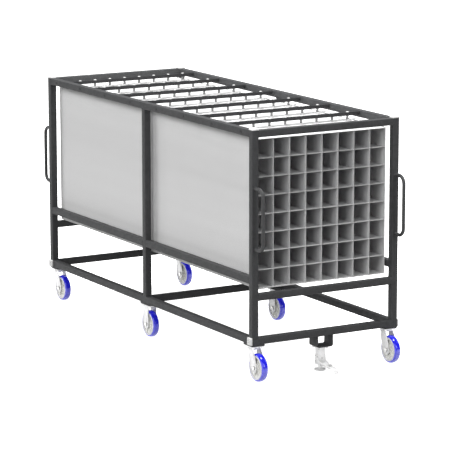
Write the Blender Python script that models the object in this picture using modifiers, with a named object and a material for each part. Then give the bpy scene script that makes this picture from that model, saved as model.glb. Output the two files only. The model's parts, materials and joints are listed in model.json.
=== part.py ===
# Parts cart: a long square-tube steel cart on six casters, with hanging
# textile dunnage of eight by eight open cells, four upright pull handles and
# a foot-operated floor lock.
#
# Metres, +Z up.  The long side of the cart runs along X, the floor is Z = 0
# and the origin lies on the floor under the middle of the whole object.
import math

import bmesh
import bpy
from mathutils import Matrix, Vector

# ------------------------------------------------------------- dimensions
FRAME_L = 2.420          # outer length of the frame (X)
FRAME_W = 0.917          # outer width of the frame (Y)
FRAME_H = 1.159          # underside of the caster pads to the tops of the tubes
TUBE = 0.0381            # square tube, outer size
TUBE_WALL = 0.0032
PAD_T = 0.0095           # thickness of the caster pads
PAD_Y = 0.078            # pad size across the cart
PAD_X_CORNER = 0.095
PAD_X_MIDDLE = 0.101
CASTER_H = 0.1905        # floor to the underside of the pads
GAP = 0.0003             # clearance left between pieces that touch

SIDE_MID_RAIL_TOP = 0.3747
END_MID_RAIL_TOP = 0.2848
RAIL_HOLES = 8           # round holes along the outer face of each top side rail
RAIL_HOLE_FIRST = 0.1165
RAIL_HOLE_PITCH = 0.3124
RAIL_HOLE_R = 0.0078

HANDLE_REACH = 0.0885    # post face to the outside of the grip
HANDLE_R = 0.0097
HANDLE_BEND = 0.0420     # radius of the bar's centre line in the bends
HANDLE_LEG_TOP = 0.308   # frame top down to the upper leg's centre line
HANDLE_LEG_LOW = 0.634
PEDAL_REACH = 0.1080     # pedal tip beyond the +X face of the frame

CELLS_Y = 8
CELLS_Z = 8
DUNNAGE_X_MARGIN = 0.048
DUNNAGE_Y_MARGIN = 0.056
DUNNAGE_TOP = 1.1005
DUNNAGE_H = 0.8000
DUNNAGE_WALL = 0.0040     # upright walls, two layers sewn together
DUNNAGE_WEB = 0.0030      # level walls

HANGERS = 7
HANGER_FIRST = 0.2099
HANGER_PITCH = 0.3106
HANGER_BAR = 0.0190
HANGER_BAR_TOP = 0.0045  # below the frame top
STUD_FIRST_Y = 0.1110
STUD_PITCH_Y = 0.09926
STRIP_TOP = 0.0430       # below the frame top
STRIP_T = 0.0070
STRIP_X = 0.0300

WHEEL_R = 0.0762
WHEEL_HALF = 0.0210
AXLE_R = 0.00635
BORE_R = 0.00660
FORK_IN = 0.0230         # half the space between the fork's legs
FORK_T = 0.0040
SWIVEL_X = 0.0475        # swivel axis in from the frame's end faces
SWIVEL_Y = 0.0390        # swivel axis in from the frame's side faces
TRAIL = 0.0450
AXLE_Z = -CASTER_H + WHEEL_R
PLATE_T = 0.0050

LOCK_X = FRAME_L - 0.058
LOCK_Y = FRAME_W / 2
BRACKET_NEAR = 0.0420    # the bracket's sides, from the lock's centre line
BRACKET_FAR = 0.0580
BRACKET_BACK = 0.102     # its ends, in from the frame's +X face
BRACKET_FRONT = 0.018
BRACKET_LOW = -0.0580
BRACKET_T = 0.0055
FOOT_R = 0.0320

# The object's middle lies half way between the pedal tip and the -X handles.
X0 = -FRAME_L / 2 - (PEDAL_REACH - HANDLE_REACH) / 2
Y0 = -FRAME_W / 2
Z0 = CASTER_H


def at(x, y, z):
    """Frame measure (from the outer -X, -Y corner at pad level) to world."""
    return Vector((x + X0, y + Y0, z + Z0))


# ------------------------------------------------------------ empty scene
for ob in list(bpy.data.objects):
    bpy.data.objects.remove(ob, do_unlink=True)

PARTS = bpy.data.collections.new("parts_cart")
TOOLS = bpy.data.collections.new("cutters")
bpy.context.scene.collection.children.link(PARTS)
bpy.context.scene.collection.children.link(TOOLS)


def material(name, colour, roughness, metallic):
    m = bpy.data.materials.new(name)
    m.use_nodes = True
    b = m.node_tree.nodes["Principled BSDF"]
    b.inputs["Base Color"].default_value = (*colour, 1.0)
    b.inputs["Roughness"].default_value = roughness
    b.inputs["Metallic"].default_value = metallic
    m.diffuse_color = (*colour, 1.0)
    return m


CHARCOAL = ((0.052, 0.053, 0.056), 0.42, 0.0)
DARK_BAR = ((0.040, 0.041, 0.044), 0.45, 0.0)
TEXTILE = ((0.800, 0.800, 0.800), 0.85, 0.0)
PLASTIC = ((0.780, 0.780, 0.770), 0.50, 0.0)
ZINC = ((0.760, 0.760, 0.750), 0.32, 0.9)
TREAD = ((0.020, 0.030, 0.560), 0.35, 0.0)
RUBBER = ((0.700, 0.700, 0.690), 0.60, 0.0)


def add(name, mesh, location, look=None, tool=False):
    ob = bpy.data.objects.new(name, mesh)
    ob.location = location
    (TOOLS if tool else PARTS).objects.link(ob)
    if tool:
        ob.hide_render = True
        ob.display_type = 'WIRE'
    else:
        dress(ob, look)
    return ob


def dress(ob, look):
    """Give the object its own material, also where it shares its mesh."""
    m = material(ob.name + "_finish", *look)
    if not ob.data.materials:
        ob.data.materials.append(None)
    slot = ob.material_slots[0]
    slot.link = 'OBJECT'
    slot.material = m


def cube(name, low, high):
    """A box mesh about its own middle; returns the mesh and the middle."""
    me = bpy.data.meshes.new(name)
    bm = bmesh.new()
    bmesh.ops.create_cube(bm, size=1.0)
    size = Vector([h - l for l, h in zip(low, high)])
    bmesh.ops.scale(bm, vec=size, verts=bm.verts)
    bm.to_mesh(me)
    bm.free()
    return me, (Vector(low) + Vector(high)) / 2


def box(name, low, high, look=None, tool=False, world=True):
    me, mid = cube(name, low, high)
    return add(name, me, at(*mid) if world else mid, look, tool)


def rod(name, centre, radius, length, axis, sides, look=None, tool=False, world=True, turn=0.0):
    me = bpy.data.meshes.new(name)
    bm = bmesh.new()
    bmesh.ops.create_cone(bm, cap_ends=True, segments=sides, radius1=radius,
                          radius2=radius, depth=length)
    bmesh.ops.rotate(bm, verts=bm.verts, matrix=Matrix.Rotation(turn, 3, 'Z'))
    if axis == 'X':
        bmesh.ops.rotate(bm, verts=bm.verts, matrix=Matrix.Rotation(math.pi / 2, 3, 'Y'))
    elif axis == 'Y':
        bmesh.ops.rotate(bm, verts=bm.verts, matrix=Matrix.Rotation(-math.pi / 2, 3, 'X'))
    bm.to_mesh(me)
    bm.free()
    return add(name, me, at(*centre) if world else Vector(centre), look, tool)


def join(ob, other):
    m = ob.modifiers.new("join_" + other.name, 'BOOLEAN')
    m.operation = 'UNION'
    m.solver = 'EXACT'
    m.object = other


def cut(ob, other):
    m = ob.modifiers.new("cut_" + other.name, 'BOOLEAN')
    m.operation = 'DIFFERENCE'
    m.solver = 'EXACT'
    m.object = other


def settled_mesh(ob, name):
    """The object's shape with its modifiers worked in, as a plain mesh."""
    bpy.context.view_layer.update()
    dg = bpy.context.evaluated_depsgraph_get()
    me = bpy.data.meshes.new_from_object(ob.evaluated_get(dg))
    me.name = name
    bm = bmesh.new()
    bm.from_mesh(me)
    bmesh.ops.remove_doubles(bm, verts=bm.verts, dist=0.00001)
    bmesh.ops.dissolve_limit(bm, angle_limit=math.radians(0.5), verts=bm.verts, edges=bm.edges)
    bmesh.ops.triangulate(bm, faces=[f for f in bm.faces if len(f.verts) > 4])
    bm.to_mesh(me)
    bm.free()
    me.materials.clear()
    return me


def outline(name, points, thickness, plane, location, look=None, tool=False, world=True):
    """A flat outline filled and given a thickness, as a plain mesh.

    plane 'XZ': points are (x, z) and the thickness runs along Y.
    plane 'YZ': points are (y, z) and the thickness runs along X.
    A list of lists is an outer line followed by the holes in it.
    """
    lines = points if isinstance(points[0][0], (tuple, list)) else [points]
    cu = bpy.data.curves.new(name + "_line", 'CURVE')
    cu.dimensions = '2D'
    cu.fill_mode = 'BOTH'
    cu.extrude = thickness / 2
    for line in lines:
        sp = cu.splines.new('POLY')
        sp.points.add(len(line) - 1)
        for p, (a, b) in zip(sp.points, line):
            p.co = (a, b, 0.0, 1.0)
        sp.use_cyclic_u = True
    ob = bpy.data.objects.new(name + "_line", cu)
    TOOLS.objects.link(ob)
    if plane == 'XZ':
        turn = Matrix.Rotation(math.pi / 2, 4, 'X')
    else:
        turn = Matrix.Rotation(math.pi / 2, 4, 'Z') @ Matrix.Rotation(math.pi / 2, 4, 'X')
    me = settled_mesh(ob, name)
    me.transform(turn)
    bm = bmesh.new()
    bm.from_mesh(me)
    bmesh.ops.recalc_face_normals(bm, faces=bm.faces)
    bm.to_mesh(me)
    bm.free()
    bpy.data.objects.remove(ob, do_unlink=True)
    return add(name, me, at(*location) if world else Vector(location), look, tool)


def arc(cx, cz, r, start, end, steps):
    return [(cx + r * math.cos(start + (end - start) * i / steps),
             cz + r * math.sin(start + (end - start) * i / steps)) for i in range(steps + 1)]


def smooth(ob, angle=35):
    ob.data.shade_smooth()
    ob.data.set_sharp_from_angle(angle=math.radians(angle))


# -------------------------------------------------------------- base frame
# End rails run the full width under the corner posts, with open ends; side
# rails and a cross rail butt between them; six pads are welded underneath.
RAIL_LOW = PAD_T
RAIL_TOP = PAD_T + TUBE
LAP = 0.0010


def bottom_rails():
    base = box("base_frame", (0, 0, RAIL_LOW), (TUBE, FRAME_W, RAIL_TOP), CHARCOAL)
    solids = [
        box("end_rail_solid", (FRAME_L - TUBE, 0, RAIL_LOW), (FRAME_L, FRAME_W, RAIL_TOP), tool=True)]
    for tag, y in (("near", 0.0), ("far", FRAME_W - TUBE)):
        solids.append(box("side_rail_solid_" + tag, (TUBE - LAP, y, RAIL_LOW),
                          (FRAME_L - TUBE + LAP, y + TUBE, RAIL_TOP), tool=True))
    mid = FRAME_L / 2
    solids.append(box("cross_rail_solid", (mid - TUBE / 2, TUBE - LAP, RAIL_LOW),
                      (mid + TUBE / 2, FRAME_W - TUBE + LAP, RAIL_TOP), tool=True))
    for ty, y in (("near", 0.0), ("far", FRAME_W - PAD_Y)):
        for tx, x, length in (("left", 0.0, PAD_X_CORNER), ("middle", mid - PAD_X_MIDDLE / 2, PAD_X_MIDDLE),
                              ("right", FRAME_L - PAD_X_CORNER, PAD_X_CORNER)):
            solids.append(box("pad_%s_%s" % (ty, tx), (x, y, 0.0),
                              (x + length, y + PAD_Y, PAD_T + LAP), tool=True))
    for s in solids:
        join(base, s)
    w = TUBE_WALL
    lo, hi = RAIL_LOW + w, RAIL_TOP - w
    hollows = []
    for tag, x in (("left", 0.0), ("right", FRAME_L - TUBE)):
        hollows.append(box("end_rail_hollow_" + tag, (x + w, -0.01, lo), (x + TUBE - w, FRAME_W + 0.01, hi), tool=True))
    for tag, y in (("near", 0.0), ("far", FRAME_W - TUBE)):
        hollows.append(box("side_rail_hollow_" + tag, (TUBE - w - 0.002, y + w, lo),
                           (FRAME_L - TUBE + w + 0.002, y + TUBE - w, hi), tool=True))
    hollows.append(box("cross_rail_hollow", (mid - TUBE / 2 + w, TUBE - w - 0.002, lo),
                       (mid + TUBE / 2 - w, FRAME_W - TUBE + w + 0.002, hi), tool=True))
    for h in hollows:
        cut(base, h)
    return base


bottom_rails()


# -------------------------------------------------------------- side frames
# Three posts, the top rail and the low middle rail of one long side, welded
# together.  The corner posts stay open at the top for their caps.
def side_frame():
    """One side, measured from the middle of its length and of its tube."""
    w = TUBE_WALL
    c = TUBE / 2
    half = FRAME_L / 2
    low = RAIL_TOP + GAP

    def beam(name, x0, x1, z0, z1, inset=0.0):
        return box(name, (x0, -c + inset, z0), (x1, c - inset, z1), tool=True, world=False)

    side = beam("side_post_left", -half, -half + TUBE, low, FRAME_H)
    for s in (beam("side_post_right", half - TUBE, half, low, FRAME_H),
              beam("side_top_rail", -half + TUBE - LAP, half - TUBE + LAP, FRAME_H - TUBE, FRAME_H),
              beam("side_middle_rail", -half + TUBE - LAP, half - TUBE + LAP,
                   SIDE_MID_RAIL_TOP - TUBE, SIDE_MID_RAIL_TOP),
              beam("side_post_middle", -c, c, low, FRAME_H - TUBE + LAP)):
        join(side, s)
    for h in (beam("side_post_hollow_left", -half + w, -half + TUBE - w, low - 0.01, FRAME_H + 0.01, w),
              beam("side_post_hollow_right", half - TUBE + w, half - w, low - 0.01, FRAME_H + 0.01, w),
              beam("side_top_rail_hollow", -half + TUBE - w - 0.002, half - TUBE + w + 0.002,
                   FRAME_H - TUBE + w, FRAME_H - w, w),
              beam("side_middle_rail_hollow", -half + TUBE - w - 0.002, half - TUBE + w + 0.002,
                   SIDE_MID_RAIL_TOP - TUBE + w, SIDE_MID_RAIL_TOP - w, w),
              beam("side_post_hollow_middle", -c + w, c - w, low - 0.01, FRAME_H - TUBE + w + 0.002, w)):
        cut(side, h)
    for i in range(RAIL_HOLES):
        x = -half + RAIL_HOLE_FIRST + RAIL_HOLE_PITCH * i
        cut(side, rod("rail_hole_%d" % (i + 1), (x, -c, FRAME_H - c), RAIL_HOLE_R,
                      0.012, 'Y', 10, tool=True, world=False))
    me = settled_mesh(side, "side_frame")
    me.transform(Matrix.Translation(side.location))
    return me


SIDE_MESH = side_frame()
add("near_side_frame", SIDE_MESH, at(FRAME_L / 2, TUBE / 2, 0.0), CHARCOAL)
far_side = add("far_side_frame", SIDE_MESH, at(FRAME_L / 2, FRAME_W - TUBE / 2, 0.0), CHARCOAL)
far_side.rotation_euler = (0, 0, math.pi)


# ---------------------------------------------------------------- end rails
def cross_tube(name, x, top):
    y0, y1 = TUBE + GAP, FRAME_W - TUBE - GAP
    w = TUBE_WALL
    tube = box(name, (x, y0, top - TUBE), (x + TUBE, y1, top), CHARCOAL)
    cut(tube, box(name + "_hollow", (x + w, y0 - 0.01, top - TUBE + w), (x + TUBE - w, y1 + 0.01, top - w), tool=True))


for end, x in (("left", 0.0), ("right", FRAME_L - TUBE)):
    cross_tube("end_top_rail_" + end, x, FRAME_H)
    cross_tube("end_middle_rail_" + end, x, END_MID_RAIL_TOP)


# --------------------------------------------------------------- tube plugs
# A square head with chamfered edges, and a plug that fits inside the tube.
CAP_HEAD = 0.0405
CAP_T = 0.0110
CAP_PLUG = 0.0300
CAP_DEPTH = 0.0150


def cap_shape():
    h, p = CAP_HEAD / 2, CAP_PLUG / 2
    head = box("cap_head_shape", (-h, -h, GAP), (h, h, CAP_T), tool=True, world=False)
    b = head.modifiers.new("edge", 'BEVEL')
    b.width = 0.0030
    b.segments = 1
    b.limit_method = 'ANGLE'
    plug = box("cap_plug_shape", (-p, -p, -CAP_DEPTH), (p, p, 0.0040), tool=True, world=False)
    join(head, plug)
    me = settled_mesh(head, "tube_cap")
    me.transform(Matrix.Translation(head.location))
    return me


CAP_MESH = cap_shape()
C = TUBE / 2
for ty, y in (("near", C), ("far", FRAME_W - C)):
    for tx, x in (("left", C), ("right", FRAME_L - C)):
        add("post_cap_%s_%s" % (ty, tx), CAP_MESH, at(x, y, FRAME_H), PLASTIC)
        rail_cap = add("rail_cap_%s_%s" % (ty, tx), CAP_MESH,
                       at(x, 0.0 if ty == "near" else FRAME_W, RAIL_LOW + C), PLASTIC)
        rail_cap.rotation_euler = (math.pi / 2 if ty == "near" else -math.pi / 2, 0, 0)


# ------------------------------------------------------------- pull handles
# Round bar bent to an upright D, its two legs square on to the post's face.
def handle_mesh():
    reach = HANDLE_REACH - HANDLE_R
    top, low, r = -HANDLE_LEG_TOP, -HANDLE_LEG_LOW, HANDLE_BEND
    line = [(GAP, top)]
    line += arc(reach - r, top - r, r, math.pi / 2, 0.0, 5)
    line += arc(reach - r, low + r, r, 0.0, -math.pi / 2, 5)
    line += [(GAP, low)]
    cu = bpy.data.curves.new("pull_handle_line", 'CURVE')
    cu.dimensions = '3D'
    cu.bevel_depth = HANDLE_R
    cu.bevel_resolution = 2
    cu.use_fill_caps = True
    sp = cu.splines.new('POLY')
    sp.points.add(len(line) - 1)
    for p, (a, b) in zip(sp.points, line):
        p.co = (a, 0.0, b, 1.0)
    ob = bpy.data.objects.new("pull_handle_line", cu)
    TOOLS.objects.link(ob)
    me = settled_mesh(ob, "pull_handle")
    bpy.data.objects.remove(ob, do_unlink=True)
    return me


HANDLE_MESH = handle_mesh()
for ty, y in (("near", C), ("far", FRAME_W - C)):
    smooth(add("pull_handle_%s_right" % ty, HANDLE_MESH, at(FRAME_L, y, FRAME_H), CHARCOAL))
    left = add("pull_handle_%s_left" % ty, HANDLE_MESH, at(0.0, y, FRAME_H), CHARCOAL)
    left.rotation_euler = (0, 0, math.pi)


# ---------------------------------------------------------- textile dunnage
# Eight sewn columns of eight through cells, the full length of the cart, hang
# side by side under the hanger bars.  A column is one upright wall with nine
# level ones sewn to it, which the next column's wall closes; the last column
# has a wall on both sides.
COL_PITCH = (FRAME_W - 2 * DUNNAGE_Y_MARGIN) / CELLS_Y


def column_mesh(name, closed):
    half = (COL_PITCH - 2 * GAP) / 2
    t, web = DUNNAGE_WALL, DUNNAGE_WEB
    pitch = (DUNNAGE_H - web) / CELLS_Z
    if closed:
        lines = [[(-half, 0.0), (half, 0.0), (half, DUNNAGE_H), (-half, DUNNAGE_H)]]
        for k in range(CELLS_Z):
            a, b = k * pitch + web, (k + 1) * pitch
            lines.append([(-half + t, a), (-half + t, b), (half - t, b), (half - t, a)])
    else:
        lines = [(-half, 0.0)]
        for k in range(CELLS_Z + 1):
            z = k * pitch
            if k > 0:
                lines.append((-half + t, z))
            lines += [(half, z), (half, z + web)]
            if k < CELLS_Z:
                lines.append((-half + t, z + web))
        lines.append((-half, DUNNAGE_H))
    ob = outline(name, lines, FRAME_L - 2 * DUNNAGE_X_MARGIN, 'YZ', (0, 0, 0), tool=True, world=False)
    return ob.data


COLUMN_LOW = DUNNAGE_TOP - DUNNAGE_H
OPEN_COLUMN = column_mesh("open_column_shape", False)
CLOSED_COLUMN = column_mesh("closed_column_shape", True)
for j in range(CELLS_Y):
    y = DUNNAGE_Y_MARGIN + COL_PITCH * (j + 0.5)
    add("dunnage_column_%d" % (j + 1), CLOSED_COLUMN if j == CELLS_Y - 1 else OPEN_COLUMN,
        at(FRAME_L / 2, y, COLUMN_LOW), TEXTILE)


# -------------------------------------------------------------- hanger bars
# A square bar across the cart between the top side rails, with eight through
# bolts, their spacers, and the strip that clamps the textile underneath.
def hanger_mesh():
    y0, y1 = TUBE + GAP, FRAME_W - TUBE - GAP
    b = HANGER_BAR / 2
    top = -HANGER_BAR_TOP
    bar = box("hanger_bar_shape", (-b, y0 + Y0, top - HANGER_BAR), (b, y1 + Y0, top), tool=True, world=False)
    strip = box("hanger_strip_shape", (-STRIP_X / 2, DUNNAGE_Y_MARGIN + Y0, -STRIP_TOP - STRIP_T),
                (STRIP_X / 2, FRAME_W - DUNNAGE_Y_MARGIN + Y0, -STRIP_TOP), tool=True, world=False)
    pieces = [strip]
    for j in range(CELLS_Y):
        y = STUD_FIRST_Y + STUD_PITCH_Y * j + Y0
        lo, hi = -STRIP_TOP - 0.001, top - HANGER_BAR + 0.001
        pieces.append(rod("spacer_shape_%d" % (j + 1), (0, y, (lo + hi) / 2), 0.0060, hi - lo, 'Z', 6, tool=True, world=False))
        lo, hi = top - 0.001, 0.0005
        pieces.append(rod("bolt_head_shape_%d" % (j + 1), (0, y, (lo + hi) / 2), 0.0080, hi - lo, 'Z', 8,
                          tool=True, world=False, turn=math.pi / 8))
    for p in pieces:
        join(bar, p)
    me = settled_mesh(bar, "hanger_bar")
    me.transform(Matrix.Translation(bar.location))
    return me


HANGER_MESH = hanger_mesh()
for i in range(HANGERS):
    add("hanger_bar_%d" % (i + 1), HANGER_MESH,
        at(HANGER_FIRST + HANGER_PITCH * i, FRAME_W / 2, FRAME_H), DARK_BAR)


# ------------------------------------------------------------------ casters
def wheel_profile(name):
    """Half section of the wheel at +X, its outer side running top to bottom."""
    r, h = WHEEL_R, WHEEL_HALF
    pts = [(BORE_R, h), (0.024, h), (0.028, 0.012), (0.0550, 0.012), (0.0565, 0.0190), (0.0625, 0.0190),
           (0.0710, 0.0140), (r, 0.0055)]
    pts = pts + [(x, -z) for x, z in reversed(pts)]
    me = bpy.data.meshes.new(name)
    bm = bmesh.new()
    vs = [bm.verts.new((x, 0.0, z)) for x, z in pts]
    for a, b in zip(vs, vs[1:] + vs[:1]):
        bm.edges.new((a, b))
    bm.to_mesh(me)
    bm.free()
    return me


WHEEL_MESH = wheel_profile("caster_wheel")


def wheel(name, x, y):
    ob = add(name, WHEEL_MESH, at(x, y, AXLE_Z), TREAD)
    ob.rotation_euler = (math.pi / 2, 0, 0)
    m = ob.modifiers.new("turned", 'SCREW')
    m.axis = 'Z'
    m.angle = math.tau
    m.steps = 24
    m.render_steps = 24
    m.use_merge_vertices = True
    m.merge_threshold = 0.00005
    m.use_smooth_shade = True
    return ob


# Legs seen from the side, in millimetres from the axle: the edges below the
# crown, from its -X end round the foot to its +X end.
SWIVEL_LEG = [(-58, 52), (-51, 34), (-40, 7), (-26, -12), (-9, -24), (4, -26.5), (15, -20), (20.5, -4),
              (17.5, 24), (10, 46), (-2, 72)]
RIGID_LEG = [(-40, 22), (-36, 3), (-25, -13), (-10, -24), (4, -26.5), (15, -20), (20.5, -5), (20.5, 20), (20, 60)]


def leg_outline(x0, x1, top_z, foot_x, edge):
    """Leg seen from the side: wide under the crown, rounded below the axle."""
    line = [(x1, top_z), (x0, top_z)]
    return line + [(foot_x + x * 0.001, AXLE_Z + z * 0.001) for x, z in edge]


def fork(name, ends, leg_top, crown, foot_x, edge, king_hole, look):
    """Crown plate and two legs in one pressing, drilled for the axle."""
    low, high = crown
    out = FORK_IN + FORK_T
    body = box(name + "_shape", (ends[0], -out, low), (ends[1], out, high), tool=True, world=False)
    for side, y in (("a", FORK_IN + FORK_T / 2), ("b", -FORK_IN - FORK_T / 2)):
        leg = outline("%s_leg_%s" % (name, side), leg_outline(leg_top[0], leg_top[1], high - 0.0008, foot_x, edge),
                      FORK_T - 0.0001, 'XZ', (0, y, 0), tool=True, world=False)
        join(body, leg)
    cut(body, rod(name + "_axle_hole", (foot_x, 0, AXLE_Z), BORE_R, 0.1, 'Y', 12, tool=True, world=False))
    if king_hole:
        cut(body, rod(name + "_king_hole", (0, 0, (low + high) / 2), 0.0086, 0.02, 'Z', 12, tool=True, world=False))
    return body


def baked(ob, name):
    me = settled_mesh(ob, name)
    me.transform(Matrix.Translation(ob.location))
    return me


CROWN_TOP = -0.0136
SWIVEL_FORK = baked(fork("swivel_fork", (-0.030, 0.030), (-0.013, 0.0294), (CROWN_TOP - 0.005, CROWN_TOP), TRAIL,
                         SWIVEL_LEG, True, ZINC),
                    "swivel_fork")

rigid = fork("rigid_fork", (-0.040, 0.022), (-0.0397, 0.0217), (-GAP - PLATE_T, -GAP), 0.0, RIGID_LEG, False, ZINC)
join(rigid, box("rigid_plate_shape", (-PAD_X_MIDDLE / 2, -PAD_Y / 2 + 0.001, -GAP - PLATE_T - 0.0003),
                (PAD_X_MIDDLE / 2, PAD_Y / 2 - 0.001, -GAP - 0.0003), tool=True, world=False))
RIGID_FORK = baked(rigid, "rigid_fork")


def swivel_plate():
    """Top plate, race housing, kingpin and the kingpin's head under the crown."""
    px, py = PAD_X_CORNER / 2, PAD_Y / 2 - 0.001
    plate = box("swivel_plate_shape", (-px, -py, -GAP - PLATE_T), (px, py, -GAP), tool=True, world=False)
    join(plate, rod("race_shape", (0, 0, -0.0090), 0.0310, 0.0084, 'Z', 20, tool=True, world=False))
    join(plate, rod("kingpin_shape", (0, 0, -0.0170), 0.0080, 0.0120, 'Z', 12, tool=True, world=False))
    join(plate, rod("kingpin_head_shape", (0, 0, -0.0220), 0.0125, 0.0060, 'Z', 6, tool=True, world=False))
    return baked(plate, "swivel_plate")


SWIVEL_PLATE = swivel_plate()


def axle_mesh():
    out = FORK_IN + FORK_T
    pin = rod("axle_shape", (0, 0, 0), AXLE_R, 2 * out + 0.012, 'Y', 12, tool=True, world=False)
    join(pin, rod("axle_head_shape", (0, -out - GAP - 0.0040, 0), 0.0110, 0.0080, 'Y', 6, tool=True, world=False))
    join(pin, rod("axle_nut_shape", (0, out + GAP + 0.0045, 0), 0.0110, 0.0090, 'Y', 6, tool=True, world=False))
    return baked(pin, "caster_axle")


AXLE_MESH = axle_mesh()

for ty, y in (("near", SWIVEL_Y), ("far", FRAME_W - SWIVEL_Y)):
    for tx, x in (("left", SWIVEL_X), ("right", FRAME_L - SWIVEL_X)):
        tag = "%s_%s" % (ty, tx)
        add("swivel_plate_" + tag, SWIVEL_PLATE, at(x, y, 0.0), ZINC)
        add("swivel_fork_" + tag, SWIVEL_FORK, at(x, y, 0.0), ZINC)
        wheel("wheel_" + tag, x + TRAIL, y)
        add("axle_" + tag, AXLE_MESH, at(x + TRAIL, y, AXLE_Z), ZINC)
    tag = ty + "_middle"
    add("rigid_fork_" + tag, RIGID_FORK, at(FRAME_L / 2, y, 0.0), ZINC)
    wheel("wheel_" + tag, FRAME_L / 2, y)
    add("axle_" + tag, AXLE_MESH, at(FRAME_L / 2, y, AXLE_Z), ZINC)


# --------------------------------------------------------------- floor lock
# A U-shaped bracket under the +X bottom rail, open along X; the lock's
# housing bolts under it, the foot slides in the housing, and the pedal
# hinges on two ears at the housing's +X side.
def lock_bracket():
    n, f, t, r = BRACKET_NEAR, BRACKET_FAR, BRACKET_T, 0.013
    top = RAIL_LOW - GAP
    low = BRACKET_LOW
    outer = [(-n, top)] + arc(-n + r, low + r, r, math.pi, 1.5 * math.pi, 4) \
        + arc(f - r, low + r, r, 1.5 * math.pi, 2 * math.pi, 4) + [(f, top)]
    inner = [(f - t, top)] + arc(f - r, low + r, r - t, 2 * math.pi, 1.5 * math.pi, 4) \
        + arc(-n + r, low + r, r - t, 1.5 * math.pi, math.pi, 4) + [(-n + t, top)]
    outline("floor_lock_bracket", outer + inner, BRACKET_BACK - BRACKET_FRONT, 'YZ',
            (FRAME_L - (BRACKET_BACK + BRACKET_FRONT) / 2, LOCK_Y, 0.0), CHARCOAL)


lock_bracket()

HOUSING_TOP = BRACKET_LOW - GAP
HOUSING_LOW = -0.1580
HOUSING_HALF = 0.0200
PIVOT_X = 0.0440          # pedal hinge, from the lock's centre line
PIVOT_Z = -0.1500
PIN_R = 0.0050
EAR_Y = 0.0220            # middle of the ears, from the lock's centre line


def lock_housing():
    s = HOUSING_HALF
    body = box("floor_lock_housing", (LOCK_X - s, LOCK_Y - s, HOUSING_LOW), (LOCK_X + s, LOCK_Y + s, HOUSING_TOP - 0.003), ZINC)
    join(body, box("housing_flange", (LOCK_X - 0.034, LOCK_Y - 0.032, HOUSING_TOP - 0.005),
                   (LOCK_X + 0.034, LOCK_Y + 0.032, HOUSING_TOP), tool=True))
    for tag, y in (("near", LOCK_Y - EAR_Y), ("far", LOCK_Y + EAR_Y)):
        line = [(-s + 0.006, HOUSING_LOW + 0.0007), (-s + 0.006, PIVOT_Z + 0.050), (s - 0.004, PIVOT_Z + 0.050),
                (s + 0.004, PIVOT_Z + 0.018), (PIVOT_X, PIVOT_Z + 0.011)]
        line += arc(PIVOT_X, PIVOT_Z, 0.011, math.radians(60), math.radians(-90), 5)
        line += [(s + 0.002, HOUSING_LOW + 0.0007)]
        join(body, outline("housing_ear_" + tag, line, 0.005, 'XZ', (LOCK_X, y, 0.0), tool=True))
    w = 0.003
    cut(body, box("housing_hollow", (LOCK_X - s + w, LOCK_Y - s + w, HOUSING_LOW - 0.01),
                  (LOCK_X + s - w, LOCK_Y + s - w, HOUSING_TOP - 0.006), tool=True))
    cut(body, rod("housing_pin_hole", (LOCK_X + PIVOT_X, LOCK_Y, PIVOT_Z), PIN_R + 0.0004, 0.1, 'Y', 12, tool=True))
    return body


lock_housing()


def lock_foot():
    """Round foot with a raised rim line, on the shaft that slides in the housing."""
    z = -CASTER_H
    foot = rod("floor_lock_foot", (LOCK_X, LOCK_Y, z + 0.0040), FOOT_R, 0.0080, 'Z', 24, RUBBER)
    join(foot, rod("foot_boss", (LOCK_X, LOCK_Y, z + 0.0100), 0.0155, 0.0060, 'Z', 20, tool=True))
    join(foot, rod("foot_shaft", (LOCK_X, LOCK_Y, (z + 0.010 - 0.092) / 2), 0.0120, -0.092 - z - 0.010, 'Z', 16, tool=True))


lock_foot()


def lock_pedal():
    """Bent pedal plate, with the hinge pin carried in the housing's ears."""
    tip = PEDAL_REACH + FRAME_L - LOCK_X - PIVOT_X
    shape = [(0.000, 0.0065), (0.034, 0.0010), (0.074, -0.0005), (0.090, -0.0040), (0.104, -0.0120), (tip, -0.0270),
             (tip - 0.003, -0.0325), (0.101, -0.0190), (0.088, -0.0115), (0.074, -0.0080), (0.034, -0.0080), (0.000, -0.0060)]
    pedal = outline("floor_lock_pedal", shape, 0.037, 'XZ', (LOCK_X + PIVOT_X, LOCK_Y, PIVOT_Z), ZINC)
    join(pedal, rod("pedal_barrel", (LOCK_X + PIVOT_X, LOCK_Y, PIVOT_Z), 0.0085, 0.0370, 'Y', 14, tool=True))
    join(pedal, rod("pedal_pin", (LOCK_X + PIVOT_X, LOCK_Y, PIVOT_Z), PIN_R, 0.0560, 'Y', 12, tool=True))
    return pedal


lock_pedal()
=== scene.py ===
# Parts cart: the visual layer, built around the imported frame.
# Metres, in the frame of the CAD: +X towards the end with the floor lock,
# +Z up, origin on the floor under the middle of the object.
import json
import math
import random

import bmesh
import bpy
from mathutils import Matrix, Vector, noise


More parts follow.
